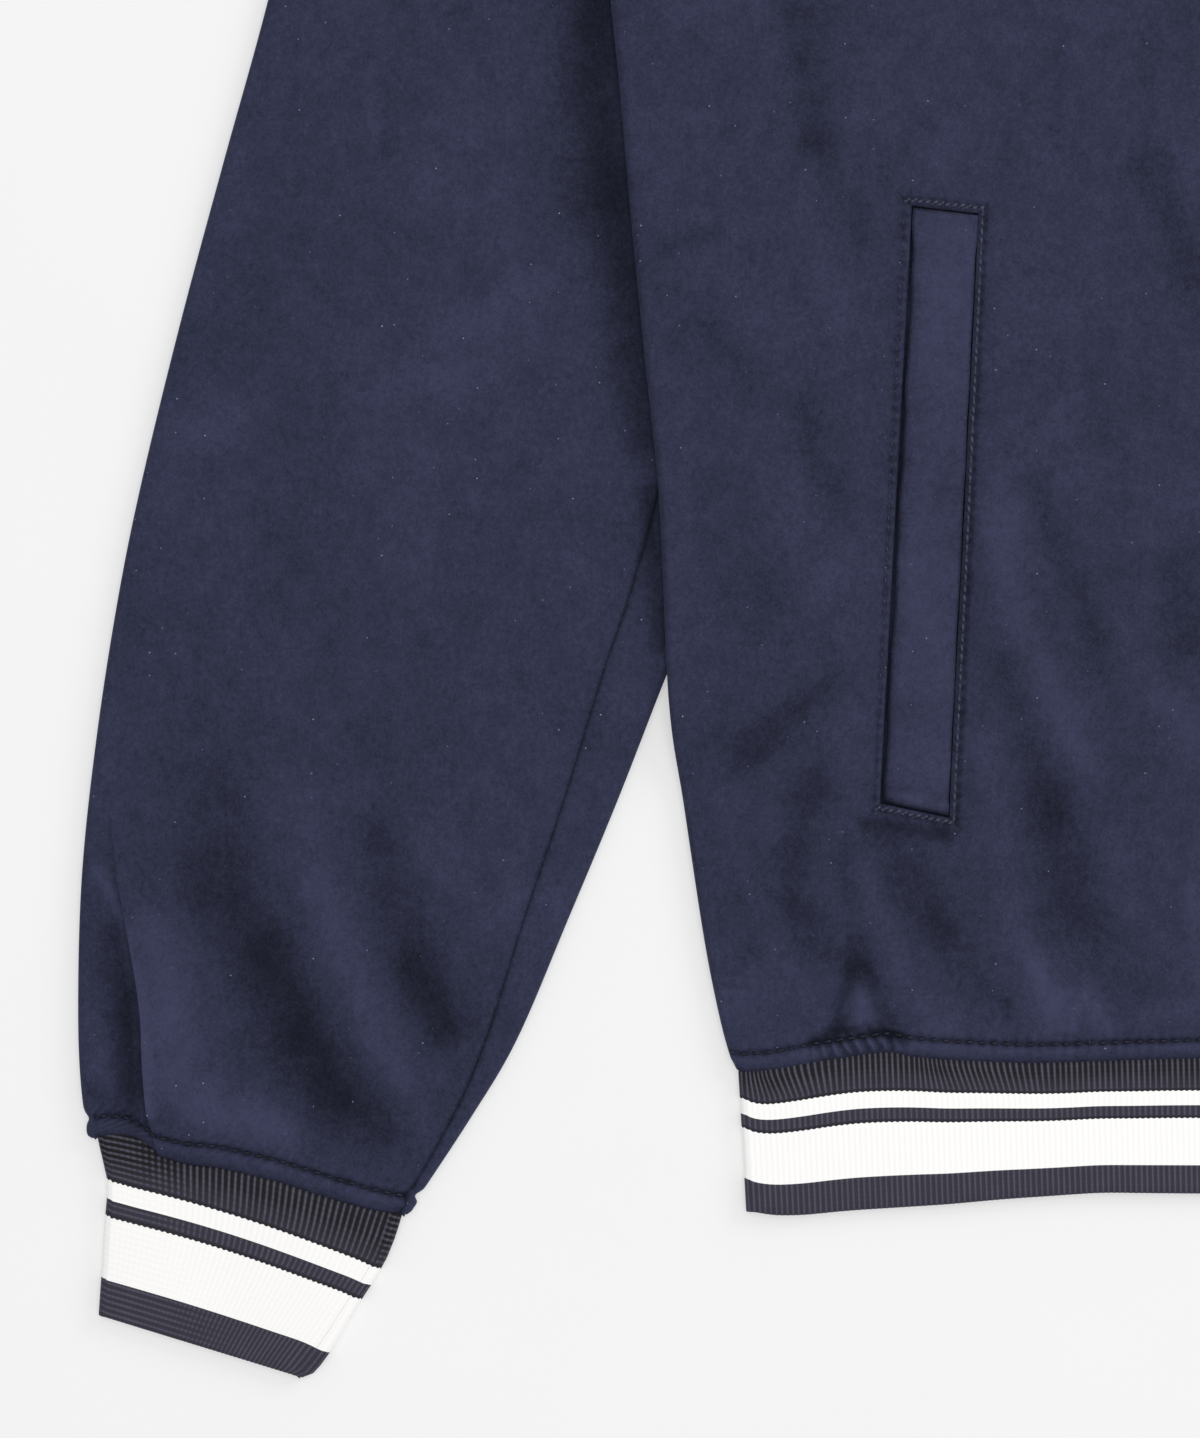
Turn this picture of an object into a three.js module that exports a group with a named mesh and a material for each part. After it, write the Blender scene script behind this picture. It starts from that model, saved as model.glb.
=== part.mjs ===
// A varsity jacket laid flat on its back, front up, in millimetres.
// X runs to the wearer's left, Y from the hem to the neck, Z up from the surface it lies on.
// The wearer's right half is worked out, and the left half is its mirror image.

import * as THREE from "three";

// Driving dimensions
const clothWall = 1.8;
const ribWall = 1.7; // rib knit without its raised ribs
const ribRelief = 0.4;
const ribPitch = 1.8;
const seamGap = 0.3;
const layered = 4.8; // two layers of cloth and the air between them
const fullness = 1.2; // how far the upper layer stands up between its seams
const mostFullness = 2.8;
const overlap = 14; // each front passes the centre line by this much
const overlapRise = clothWall + seamGap; // the left front is this much higher over the right front
const sleeveRise = layered + seamGap; // the body is this much higher over a sleeve
const weltRecess = 0.4;
const snapRadius = 7.5;
const snapHeight = 3;
const snapCount = 5; // on the placket; one more is on the hem band
const frontNeckDepth = 95;
const backNeckDepth = 22;
const neckHalf = 88;
const shoulderY = 680; // the neck end of the shoulder seam
const collarHeight = 52;
const collarTop = { half: 80, y: 730 }; // where the collar's upper edge folds
const hemHalf = { top: 232.6, bottom: 230 };
const placketSnaps = { lowest: 95, highest: 560 };

const hemRise = ribWall + ribRelief + seamGap; // the hem band's left end over its right end
const foldRadius = layered / 2;
const ribTop = layered - ribRelief;
const ribFoldRadius = ribTop / 2;

// Rows of the half body from the hem to the armpit, then from the armpit to the shoulder seam.
// Each row gives the side or armhole edge, the two long sides of the pocket window, the line that
// ends at the neck, and the height of the row on the centre line of the front and of the back.
const rowNames = [
  "sideX", "sideY", "outerX", "outerY", "innerX", "innerY", "neckX", "neckY", "frontY", "backY",
];
const lowerRows = [
  [-233.9, 47.1, -188.5, 51.2, -167.5, 49.4, -93, 48.9, 48.6, 48.6],
  [-238.5, 62, -188.3, 66, -167, 64, -93, 63, 63, 63],
  [-243.6, 87, -187.9, 89, -166.2, 87, -93, 86, 86, 86],
  [-250.4, 131.7, -187.1, 131.7, -164.7, 127.1, -92.5, 127, 127, 127],
  [-255.3, 165, -185.4, 165, -163.1, 161, -92, 160, 160, 160],
  [-258.4, 230, -182, 229, -159.9, 226, -91, 226, 226, 226],
  [-263.2, 277, -179.4, 277, -157.6, 274, -90.5, 274, 274, 274],
  [-267.8, 324.6, -176.9, 324.6, -155.3, 322.1, -90, 322, 322, 322],
  [-271.5, 366, -175.8, 363, -154, 361, -89.5, 359, 357, 359],
  [-276, 408, -175, 402, -153, 400, -89, 396, 392, 396],
];
const upperRows = [
  [-276, 408, -175, 402, -153, 400, -89, 396, 392, 396],
  [-256, 427, -178, 420, -156, 418, -89, 414, 408, 416],
  [-240, 457, -180, 449, -157, 446, -89, 440, 430, 446],
  [-229.5, 505, -181, 495, -158, 492, -89, 484, 466, 496],
  [-227, 560, -181, 552, -158, 549, -88, 540, 506, 550],
  [-231, 600, -181, 600, -158, 604, -88, 600, 545, 600],
  [-238, 634, -180, 651.8, -157, 658.8, -88, 680, 585, 658],
];
const armpitRow = lowerRows.length - 1;
const shoulderRow = armpitRow + upperRows.length - 1;
const pocketRows = { bottom: 3, top: 7 };
const sleeveTopRow = armpitRow + 2; // where the sleeve's inner edge leaves the armhole
const liftRows = { none: 3, full: 4, fullTop: sleeveTopRow, noneTop: sleeveTopRow + 1.5 };
const liftColumns = { full: 0.55, none: 1 };
const riseColumns = { none: 3.4, full: 3.7 };
const collarEnd = 0.85; // part of a front's neckline where the collar ends
const armholeGap = 0.6; // between a sleeve and the armhole, with what the curve needs
const collarGap = 0.6;

// Stations of the right sleeve from the armhole to the cuff: its inner edge, its outer edge, and how
// far the underarm seam lies inside the inner edge.
const sleeveNames = ["innerX", "innerY", "outerX", "outerY", "seam"];
const sleeveStations = [
  [-240, 457, -238, 634, 6],
  [-245, 437, -300, 592, 12],
  [-247, 415, -345, 531, 18],
  [-244, 388, -368, 460, 22],
  [-238, 345, -384.8, 391, 24],
  [-232, 295, -399, 339.4, 24],
  [-234, 240, -412.9, 287.7, 23],
  [-245, 199, -425.5, 236.1, 22],
  [-256.5, 171.6, -433.4, 197, 20],
  [-271.6, 132.9, -440.3, 152, 17],
  [-287.7, 94.2, -445, 107, 14],
  [-304.2, 55.5, -446.1, 62, 10],
  [-319.4, 29.7, -444.6, 35, 6],
  [-339.7, -1, -441.3, 22.9, 3.4],
];
const cuffStations = [
  [-341.05, -1.05, -440.1, 22.25, 4],
  [-349.5, -21.3, -437.9, -3, 4],
  [-373.5, -53.8, -439.5, -33.5, 4],
];

// Lower edge of the hem band: distance from the centre line and height.
const hemEdge = [
  [-230, 1.3], [-224, -1.2], [-213, -1.3], [-197, 0.3], [-165, 2.3],
  [-148, 3.9], [-116, 6.1], [-87, 5.8], [0, 5.5], [overlap, 5.5],
];

// Folds of the upper layer, each a soft ridge or trough: from x and y, to x and y, half width, height.
const sleeveFolds = [
  [-404, 92, -372, 60, 12, -2.4],
  [-372, 60, -345, 28, 10, -2.2],
  [-342, 112, -328, 66, 10, -2.2],
  [-362, 100, -348, 66, 9, 1.6],
  [-408, 72, -398, 30, 11, 1.6],
  [-318, 126, -314, 92, 9, 1.4],
];
const bodyFolds = [
  [-192, 90, -200, 60, 8, -1.4],
  [-192, 90, -184, 60, 8, -1.4],
  [-214, 110, -222, 66, 12, 1.2],
  [-150, 110, -138, 70, 12, 1.2],
  [-128, 118, -112, 76, 12, -1.2],
];
// A tuck near the sleeve's outer edge, between stations, at a distance inside that edge.
const tuck = { starts: 9.3, full: 11.2, leastInset: 6, inset: 20, step: 1.5, rise: 2.2, spread: 22 };

// Shared helpers

const soft = (low, high, value) => THREE.MathUtils.smoothstep(value, low, high);
const mix = THREE.MathUtils.lerp;

// Smooth curves through the rows of a table, one for each named column.
function curvesOf(names, rows) {
  const curves = {};
  names.forEach((name, column) => {
    const points = rows.map((row) => new THREE.Vector2(row[column], 0));
    const curve = new THREE.SplineCurve(points);
    curves[name] = (place) => curve.getPoint(place / (rows.length - 1)).x;
  });
  return curves;
}

// A piecewise straight line through points given as pairs.
function lineThrough(points) {
  return (x) => {
    const found = points.findIndex((point) => point[0] >= x);
    const after = found < 0 ? points.length - 1 : Math.max(1, found);
    const [x0, y0] = points[after - 1];
    const [x1, y1] = points[after];
    return mix(y0, y1, (x - x0) / (x1 - x0));
  };
}

// Height that a table of folds adds at a point: each fold is a rounded ridge along its own line.
function foldHeight(folds, x, y) {
  let height = 0;
  for (const fold of folds) {
    const [fromX, fromY, toX, toY, width, rise] = fold;
    const run = new THREE.Vector2(toX - fromX, toY - fromY);
    const offset = new THREE.Vector2(x - fromX, y - fromY);
    const along = THREE.MathUtils.clamp(offset.dot(run) / run.lengthSq(), 0, 1);
    const away = offset.addScaledVector(run, -along).length();
    height += rise * Math.exp(-((away / width) ** 2));
  }
  return height;
}

// The outward direction at a point of a grid whose columns run along and whose rows run across.
function outward(grid, row, column) {
  const line = grid[row];
  const before = line[Math.max(column - 1, 0)];
  const after = line[Math.min(column + 1, line.length - 1)];
  const below = grid[Math.max(row - 1, 0)][column];
  const above = grid[Math.min(row + 1, grid.length - 1)][column];
  const along = new THREE.Vector3().subVectors(after, before);
  return along.cross(new THREE.Vector3().subVectors(above, below)).normalize();
}

// Collects triangles of one closed piece.
class Skin {
  constructor() {
    this.points = [];
    this.faces = [];
  }
  add(point) {
    return this.points.push(point) - 1;
  }
  triangle(a, b, c) {
    this.faces.push(a, b, c);
  }
  // A four-cornered face, split along its shorter diagonal.
  quad(a, b, c, d) {
    const [pa, pb, pc, pd] = [a, b, c, d].map((corner) => this.points[corner]);
    const first = pa.distanceToSquared(pc) <= pb.distanceToSquared(pd);
    this.faces.push(...(first ? [a, b, c, a, c, d] : [a, b, d, b, c, d]));
  }
  geometry() {
    const geometry = new THREE.BufferGeometry().setFromPoints(this.points);
    geometry.setIndex(this.faces);
    geometry.computeVertexNormals();
    return geometry;
  }
}

// A wall of even thickness under a grid of outer points. Cells for which isOpen says so are left
// out, and every free edge, of the grid or of an opening, is closed by a rim. Where two layers meet
// at a seam, keep holds an inner point on its own side of it.
function wallUnder(grid, thickness, isOpen = () => false, keep = (point) => point) {
  const skin = new Skin();
  const rows = grid.length;
  const columns = grid[0].length;
  const layer = (depth) =>
    grid.map((line, row) =>
      line.map((point, column) =>
        skin.add(keep(point.clone().addScaledVector(outward(grid, row, column), -depth), row, column)),
      ),
    );
  const outer = layer(0);
  const inner = layer(thickness);
  const isCell = (row, column) =>
    row >= 0 && row < rows - 1 && column >= 0 && column < columns - 1 && !isOpen(row, column);
  for (let row = 0; row < rows - 1; row++) {
    for (let column = 0; column < columns - 1; column++) {
      if (!isCell(row, column)) continue;
      const corners = [[row, column], [row, column + 1], [row + 1, column + 1], [row + 1, column]];
      const [o0, o1, o2, o3] = corners.map(([r, c]) => outer[r][c]);
      const [i0, i1, i2, i3] = corners.map(([r, c]) => inner[r][c]);
      skin.quad(o0, o1, o2, o3);
      skin.quad(i3, i2, i1, i0);
      if (!isCell(row - 1, column)) skin.quad(o1, o0, i0, i1);
      if (!isCell(row, column + 1)) skin.quad(o2, o1, i1, i2);
      if (!isCell(row + 1, column)) skin.quad(o3, o2, i2, i3);
      if (!isCell(row, column - 1)) skin.quad(o0, o3, i3, i0);
    }
  }
  return skin.geometry();
}

// A rib-knit wall under a grid: ribs run across the rows and stand out of the outer face in the
// columns for which hasRibs says so. The inner face is plain.
function ribbedWall(grid, thickness, hasRibs) {
  const skin = new Skin();
  const last = grid.length - 1;
  const middle = Math.floor(last / 2);
  const columns = grid[0].length - 1;
  const ribs = (column) => {
    const width = grid[middle][column].distanceTo(grid[middle][column + 1]);
    return hasRibs(column) ? Math.max(1, Math.round(width / ribPitch)) : 0;
  };
  const steps = Array.from({ length: columns }, (_, column) => Math.max(1, 2 * ribs(column)));
  const outer = grid.map((line, row) => {
    const ids = [];
    for (let column = 0; column < columns; column++) {
      const start = outward(grid, row, column);
      const end = outward(grid, row, column + 1);
      for (let step = 0; step < steps[column]; step++) {
        const part = step / steps[column];
        const relief = step % 2 ? ribRelief : 0;
        const point = line[column].clone().lerp(line[column + 1], part);
        ids.push(skin.add(point.addScaledVector(start.clone().lerp(end, part), relief)));
      }
    }
    ids.push(skin.add(line[columns].clone()));
    return ids;
  });
  const inner = grid.map((line, row) =>
    line.map((point, column) =>
      skin.add(point.clone().addScaledVector(outward(grid, row, column), -thickness)),
    ),
  );
  for (let row = 0; row < last; row++) {
    for (let at = 0; at < outer[0].length - 1; at++) {
      skin.quad(outer[row][at], outer[row][at + 1], outer[row + 1][at + 1], outer[row + 1][at]);
    }
    for (let column = 0; column < columns; column++) {
      const [i0, i1] = [inner[row][column], inner[row][column + 1]];
      skin.quad(inner[row + 1][column], inner[row + 1][column + 1], i1, i0);
    }
    skin.quad(outer[row][0], outer[row + 1][0], inner[row + 1][0], inner[row][0]);
    const [lowEnd, highEnd] = [outer[row].at(-1), outer[row + 1].at(-1)];
    skin.quad(highEnd, lowEnd, inner[row].at(-1), inner[row + 1].at(-1));
  }
  // The two long rims: many outer points to one inner edge.
  for (const row of [0, last]) {
    const turn = (a, b, c) => (row ? skin.triangle(b, a, c) : skin.triangle(a, b, c));
    let at = 0;
    for (let column = 0; column < columns; column++) {
      const half = Math.ceil(steps[column] / 2);
      for (let step = 0; step < steps[column]; step++, at++) {
        const corner = inner[row][step < half ? column : column + 1];
        turn(outer[row][at + 1], outer[row][at], corner);
        if (step === half - 1) turn(outer[row][at + 1], corner, inner[row][column + 1]);
      }
    }
  }
  return skin.geometry();
}

// The same grid on the wearer's left.
function mirrored(grid) {
  return grid.map((line) => line.map((p) => new THREE.Vector3(-p.x, p.y, p.z)).reverse());
}

// The body panels

const lower = curvesOf(rowNames, lowerRows);
const upper = curvesOf(rowNames, upperRows);
const bodyValue = (name, row) =>
  row <= armpitRow ? lower[name](row) : upper[name](row - armpitRow);

// A neckline is a quarter of an ellipse from the shoulder seam to the centre line. On a front it
// ends where the collar does, and the placket goes on level past the centre line.
function neckPlace(part, isFront) {
  const depth = isFront ? frontNeckDepth : backNeckDepth;
  const reach = isFront ? collarEnd : 1;
  const angle = (Math.min(part / reach, 1) * Math.PI) / 2;
  const past = isFront ? (Math.max(0, part - reach) / (1 - reach)) * overlap : 0;
  return new THREE.Vector2(past - neckHalf * Math.cos(angle), shoulderY - depth * Math.sin(angle));
}

// A place on the half body. Its columns are numbered 0 side edge, 1 and 2 pocket window, 3 the line
// that ends at the neck, 4 the centre, which a front passes by its overlap.
const columnNames = ["side", "outer", "inner", "neck"];
const neckColumn = columnNames.length - 1;
function bodyPlace(row, column, isFront) {
  const centre = isFront
    ? new THREE.Vector2(overlap, bodyValue("frontY", row))
    : new THREE.Vector2(0, bodyValue("backY", row));
  const keyPlace = (index) => {
    if (index > neckColumn) return centre;
    const name = columnNames[index];
    return new THREE.Vector2(bodyValue(name + "X", row), bodyValue(name + "Y", row));
  };
  const before = Math.min(Math.floor(column), neckColumn);
  const part = column - before;
  const place = keyPlace(before).lerp(keyPlace(before + 1), part);
  if (before < neckColumn) return place;
  const straight = neckPlace(0, isFront).lerp(neckPlace(1, isFront), part);
  const bend = neckPlace(part, isFront).sub(straight);
  return place.addScaledVector(bend, soft(shoulderRow - 1.6, shoulderRow, row));
}

// Where the body lies over a sleeve it is raised by the sleeve's thickness.
function sleeveLift(row, column) {
  const across = 1 - soft(liftColumns.full, liftColumns.none, column);
  const up = soft(liftRows.none, liftRows.full, row);
  return sleeveRise * across * up * (1 - soft(liftRows.fullTop, liftRows.noneTop, row));
}

// How far the upper layer stands up between its seams.
function bodyFullness(row, column, place) {
  const fromSide = soft(0.03, 0.4, column) * (1 - soft(3.2, 3.6, column));
  const fromEnds = soft(0, 1.2, row) * (1 - soft(shoulderRow - 2, shoulderRow - 0.5, row));
  const height = fullness + foldHeight(bodyFolds, place.x, place.y);
  return fromSide * fromEnds * THREE.MathUtils.clamp(height, 0, mostFullness);
}

// The body's edges at the side and shoulder seams are rounded. Each step gives the distance from the
// edge and the height, as parts of the fold's radius.
const edgeSteps = [0, 45, 90].map((degrees) => {
  const angle = THREE.MathUtils.degToRad(degrees);
  return { inset: (1 - Math.cos(angle)) * foldRadius, height: Math.sin(angle) };
});
const columnsPerMm = 0.0125;
const rowsPerMm = 0.022;
const whole = (list) => list.map((at) => ({ at, height: 1 }));
const sideSteps = edgeSteps.map(({ inset, height }) => ({ at: inset * columnsPerMm, height }));
const topSteps = edgeSteps.map(({ inset, height }) => ({ at: shoulderRow - inset * rowsPerMm, height }));
const acrossSide = [0.27, 0.55, 0.78, 1, 2];
const frontNeckParts = [0, 0.12, 0.24, 0.36, 0.48, 0.6, 0.72, collarEnd];
const backNeckParts = [0, 0.25, 0.5, 0.75, 1];
const frontColumns = [
  ...sideSteps,
  ...whole([...acrossSide, 2.33, 2.67]),
  ...whole([...frontNeckParts, 1].map((part) => neckColumn + part)),
];
const backColumns = [
  ...sideSteps,
  ...whole([...acrossSide, ...backNeckParts.map((part) => neckColumn + part)]),
];
const bodyRows = [
  ...whole([0, 1, 2, 3, 4, 5, 6, 7, 8, 9, 10, 11, 11.5, 12, 12.5, 13, 13.5, 14, 14.5]),
  ...topSteps.reverse(),
];

// The part of the half height that is left after rounding. The armhole and the neckline are not
// rounded, because a sleeve and the collar are sewn on there.
function roundedHeight(row, column) {
  const side = mix(column.height, 1, soft(armpitRow + 1, sleeveTopRow, row.at));
  return side * (column.at > neckColumn ? 1 : row.height);
}

function upperHeight(row, column, place, rise) {
  const covered = rise * soft(riseColumns.none, riseColumns.full, column);
  return sleeveLift(row, column) + covered + bodyFullness(row, column, place);
}

// The half body's outer points: the upper face of a front, or the under face of the back.
function bodyGrid(columns, isFront, rise = 0) {
  return bodyRows.map((row) =>
    columns.map((column) => {
      const { x, y } = bodyPlace(row.at, column.at, isFront);
      const half = Math.max(foldRadius * roundedHeight(row, column), seamGap / 2);
      if (!isFront) return new THREE.Vector3(x, y, sleeveLift(row.at, column.at) + foldRadius - half);
      return new THREE.Vector3(x, y, foldRadius + half + upperHeight(row.at, column.at, { x, y }, rise));
    }),
  );
}

const isPocket = (row, column) =>
  bodyRows[row].at >= pocketRows.bottom &&
  bodyRows[row].at < pocketRows.top &&
  frontColumns[column].at === 1;
const isLeftPocket = (row, column) => isPocket(row, frontColumns.length - 2 - column);

// Half the seam's gap above or below the middle of the body's edge, at a row and column.
const seamHeight = (row, column, side) =>
  sleeveLift(bodyRows[row].at, column.at) + foldRadius + (side * seamGap) / 2;

function makeRightFront() {
  const keep = (point, row, column) =>
    point.setZ(Math.max(point.z, seamHeight(row, frontColumns[column], 1)));
  return wallUnder(bodyGrid(frontColumns, true), clothWall, isPocket, keep);
}

function makeLeftFront() {
  const columns = frontColumns.toReversed();
  const keep = (point, row, column) =>
    point.setZ(Math.max(point.z, seamHeight(row, columns[column], 1)));
  return wallUnder(mirrored(bodyGrid(frontColumns, true, overlapRise)), clothWall, isLeftPocket, keep);
}

// The back's columns run the other way, so that its outer face is the one underneath.
function makeBack() {
  const half = bodyGrid(backColumns, false);
  const grid = mirrored(half).map((line, row) => [...half[row].slice(0, -1), ...line].reverse());
  const columns = [...backColumns, ...backColumns.toReversed().slice(1)];
  const keep = (point, row, column) =>
    point.setZ(Math.min(point.z, seamHeight(row, columns[column], -1)));
  return wallUnder(grid, clothWall, () => false, keep);
}

// A welt fills its pocket window: the same places as the front's, a seam's gap inside them.
function weltGrid() {
  const first = bodyPlace(pocketRows.bottom, 1, true);
  const inset = seamGap / first.distanceTo(bodyPlace(pocketRows.bottom, 2, true));
  const step = seamGap / first.distanceTo(bodyPlace(pocketRows.bottom + 1, 1, true));
  const rows = bodyRows
    .map((row) => row.at)
    .filter((at) => at > pocketRows.bottom && at < pocketRows.top);
  return [pocketRows.bottom + step, ...rows, pocketRows.top - step].map((row) =>
    [1 + inset, 2 - inset].map((column) => {
      const place = bodyPlace(row, column, true);
      const height = layered - weltRecess + upperHeight(row, column, place, 0);
      return new THREE.Vector3(place.x, place.y, height);
    }),
  );
}

// The sleeves and cuffs are flat tubes, open along the underarm seam

const foldAngles = [45, 0, -45].map(THREE.MathUtils.degToRad);

// Rings from the armhole or the cuff seam downwards. Each goes from the seam over the upper layer,
// round the outer edge, back under the lower layer and round the inner edge to the seam again.
function tubeGrid({ stations, rings, topParts, underCount, thickness, bend, fullnessAt }) {
  const curves = curvesOf(sleeveNames, stations);
  const radius = thickness / 2;
  return rings.map((ring) => {
    const innerEdge = new THREE.Vector2(curves.innerX(ring), curves.innerY(ring));
    const outerEdge = new THREE.Vector2(curves.outerX(ring), curves.outerY(ring));
    const width = innerEdge.distanceTo(outerEdge);
    const edge = radius / width;
    const seam = curves.seam(ring) / width;
    const point = (part, height) => {
      const place = innerEdge.clone().lerp(outerEdge, part).add(bend(ring, part));
      const full = height < thickness ? 0 : fullnessAt(ring, part, place, width);
      return new THREE.Vector3(place.x, place.y, height + full);
    };
    const under = (at) => point(mix(1 - edge, edge, at / underCount), 0);
    const fold = foldAngles.map((angle) => ({
      inset: edge * (1 - Math.cos(angle)),
      height: radius * (1 + Math.sin(angle)),
    }));
    return [
      ...topParts(ring, width).map((part) => point(mix(seam, 1 - edge, part), thickness)),
      ...fold.map(({ inset, height }) => point(1 - inset, height)),
      ...Array.from({ length: underCount + 1 }, (_, at) => under(at)),
      ...fold.reverse().map(({ inset, height }) => point(inset, height)),
      point(edge, thickness),
      point(seam - seamGap / width, thickness),
    ];
  });
}

// The sleeve's first ring follows the armhole, and the bend dies out in the upper sleeve.
function sleeveBend(ring, part) {
  const row = mix(sleeveTopRow, shoulderRow, part);
  const armhole = new THREE.Vector2(bodyValue("sideX", row) - armholeGap, bodyValue("sideY", row));
  const [first] = sleeveStations;
  const straight = new THREE.Vector2(first[0], first[1]).lerp(new THREE.Vector2(first[2], first[3]), part);
  return armhole.sub(straight).multiplyScalar(1 - soft(0, 3.5, ring));
}

const sleeveEnd = sleeveStations.length - 1;
const tuckInset = (ring) => mix(tuck.leastInset, tuck.inset, soft(tuck.starts, tuck.full, ring));

// The sleeve stands up a little between its edges, flat where the body lies over it.
function sleeveFullness(ring, part, place) {
  const free = soft(8, 10, ring);
  const innerFade = soft(mix(0.27, 0.04, free), mix(0.5, 0.2, free), part);
  const fromEdges = innerFade * (1 - soft(0.8, 0.96, part));
  const fromEnds = soft(0, 2, ring) * (1 - soft(sleeveEnd - 0.9, sleeveEnd, ring));
  const height = fullness * (1 + free) + foldHeight(sleeveFolds, place.x, place.y);
  return fromEdges * fromEnds * THREE.MathUtils.clamp(height, 0, mostFullness);
}

// The tuck: the cloth nearer the seam lies over the cloth nearer the outer edge.
function tuckHeight(ring, part, width) {
  const away = (1 - part) * width - tuckInset(ring) - tuck.step;
  if (away < -0.01) return 0;
  const grown = soft(tuck.starts, tuck.full, ring) * (1 - 0.5 * soft(sleeveEnd - 1, sleeveEnd, ring));
  return tuck.rise * grown * Math.exp(-((away / tuck.spread) ** 2));
}

// Even columns from the seam to the tuck, one a step past it, one between, and the edge.
function sleeveTopParts(ring, width) {
  const tuckPart = 1 - tuckInset(ring) / width;
  const beforeTuck = tuckPart - tuck.step / width;
  const even = Array.from({ length: 7 }, (_, at) => (beforeTuck * at) / 6);
  return [...even, tuckPart, (tuckPart + 1) / 2, 1];
}

function makeSleeve(isLeft) {
  const grid = tubeGrid({
    stations: sleeveStations,
    rings: [0, 0.5, 1, 1.5, 2, 3, 4, 5, 6, 7, 8, 9, 9.6, 10.2, 10.7, 11.2, 11.8, 12.4, 13],
    topParts: sleeveTopParts,
    underCount: 6,
    thickness: layered,
    bend: sleeveBend,
    fullnessAt: (ring, part, place, width) =>
      sleeveFullness(ring, part, place) + tuckHeight(ring, part, width),
  });
  return wallUnder(isLeft ? mirrored(grid) : grid, clothWall);
}

// A cuff's ribs are on its upper face, which is its first columns, or its last on the left.
const cuffTopCount = 4;
function makeCuff(isLeft) {
  const grid = tubeGrid({
    stations: cuffStations,
    rings: [0, 1, 2],
    topParts: () => Array.from({ length: cuffTopCount + 1 }, (_, at) => at / cuffTopCount),
    underCount: 3,
    thickness: ribTop,
    bend: () => new THREE.Vector2(0, 0),
    fullnessAt: () => 0,
  });
  const columns = grid[0].length - 1;
  const hasRibs = (column) => (isLeft ? columns - 1 - column : column) < cuffTopCount;
  return ribbedWall(isLeft ? mirrored(grid) : grid, ribWall, hasRibs);
}

// A flat band that is open at the centre front, such as the hem band and the collar. Its sides are
// given for the wearer's right, from the fold to the centre, as lower and upper edge points.
function bandGrid(frontSides, backSides, rightRise, leftRise) {
  const flat = (sides, height, rise) =>
    sides.map((edges) => edges.map(({ x, y }) => new THREE.Vector3(x, y, height + rise(x))));
  const fold = foldAngles.map((angle) =>
    frontSides[0].map(({ x, y }) => {
      const out = ribFoldRadius * Math.cos(angle);
      return new THREE.Vector3(x - out, y, ribFoldRadius * (1 + Math.sin(angle)));
    }),
  );
  const mirror = (edges) => edges.map((p) => new THREE.Vector3(-p.x, p.y, p.z));
  const right = flat(frontSides, ribTop, rightRise);
  const left = flat(frontSides, ribTop, leftRise).map(mirror).reverse();
  const back = flat(backSides, 0, () => 0);
  const columns = [
    ...left,
    ...fold.map(mirror),
    ...back.map(mirror),
    ...back.slice(0, -1).reverse(),
    ...fold.reverse(),
    ...right,
  ];
  const isFlatTop = (column) =>
    column < left.length - 1 || column >= columns.length - right.length;
  return { grid: [0, 1].map((edge) => columns.map((edges) => edges[edge])), isFlatTop };
}

function makeHemBand() {
  const panelEdge = frontColumns
    .filter((column) => column.height === 1 && column.at > sideSteps.at(-1).at)
    .map((column) => bodyPlace(0, column.at, true));
  const sideCorner = bodyPlace(0, 0, true);
  const seamY = lineThrough([sideCorner, ...panelEdge].map(({ x, y }) => [x, y - seamGap]));
  const lowerY = lineThrough(hemEdge);
  const places = [-(hemHalf.top - ribFoldRadius), ...panelEdge.map(({ x }) => x)];
  const sideAt = (x) => {
    const lowerX = (x * hemHalf.bottom) / hemHalf.top;
    return [{ x: lowerX, y: lowerY(lowerX) }, { x, y: seamY(x) }];
  };
  const frontSides = places.map(sideAt);
  const backSides = [...places.filter((x) => x < -60), 0].map(sideAt);
  const leftRise = (x) => hemRise * soft(-46, -16, x);
  const { grid, isFlatTop } = bandGrid(frontSides, backSides, () => 0, leftRise);
  return ribbedWall(grid, ribWall, isFlatTop);
}

function makeCollar() {
  const centre = new THREE.Vector2(0, shoulderY + 40);
  const sideAt = (part, isFront) => {
    const seam = neckPlace(part, isFront);
    seam.addScaledVector(centre.clone().sub(seam).normalize(), collarGap);
    const depth = isFront ? frontNeckDepth : backNeckDepth;
    const drop = collarTop.y - (shoulderY - depth + collarHeight);
    const angle = (Math.min(part / (isFront ? collarEnd : 1), 1) * Math.PI) / 2;
    const top = { x: -collarTop.half * Math.cos(angle), y: collarTop.y - drop * Math.sin(angle) };
    const end = isFront ? -seamGap / 2 : 0;
    return [{ x: Math.min(seam.x, end), y: seam.y }, { x: Math.min(top.x, end), y: top.y }];
  };
  const frontSides = frontNeckParts.map((part) => sideAt(part, true));
  const backSides = backNeckParts.map((part) => sideAt(part, false));
  const rise = (x) => overlapRise * soft(-44, -22, x);
  const { grid, isFlatTop } = bandGrid(frontSides, backSides, rise, rise);
  return ribbedWall(grid, ribWall, isFlatTop);
}

// A plain snap cap, flat underneath, with a rounded rim and a low crown.
function makeSnap() {
  const profile = [
    [0, 0], [snapRadius - 0.5, 0], [snapRadius, 0.8], [snapRadius - 1.5, snapHeight - 0.6], [0, snapHeight],
  ].map(([radius, height]) => new THREE.Vector2(radius, height));
  return new THREE.LatheGeometry(profile, 16).rotateX(Math.PI / 2);
}

// The garment

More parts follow.
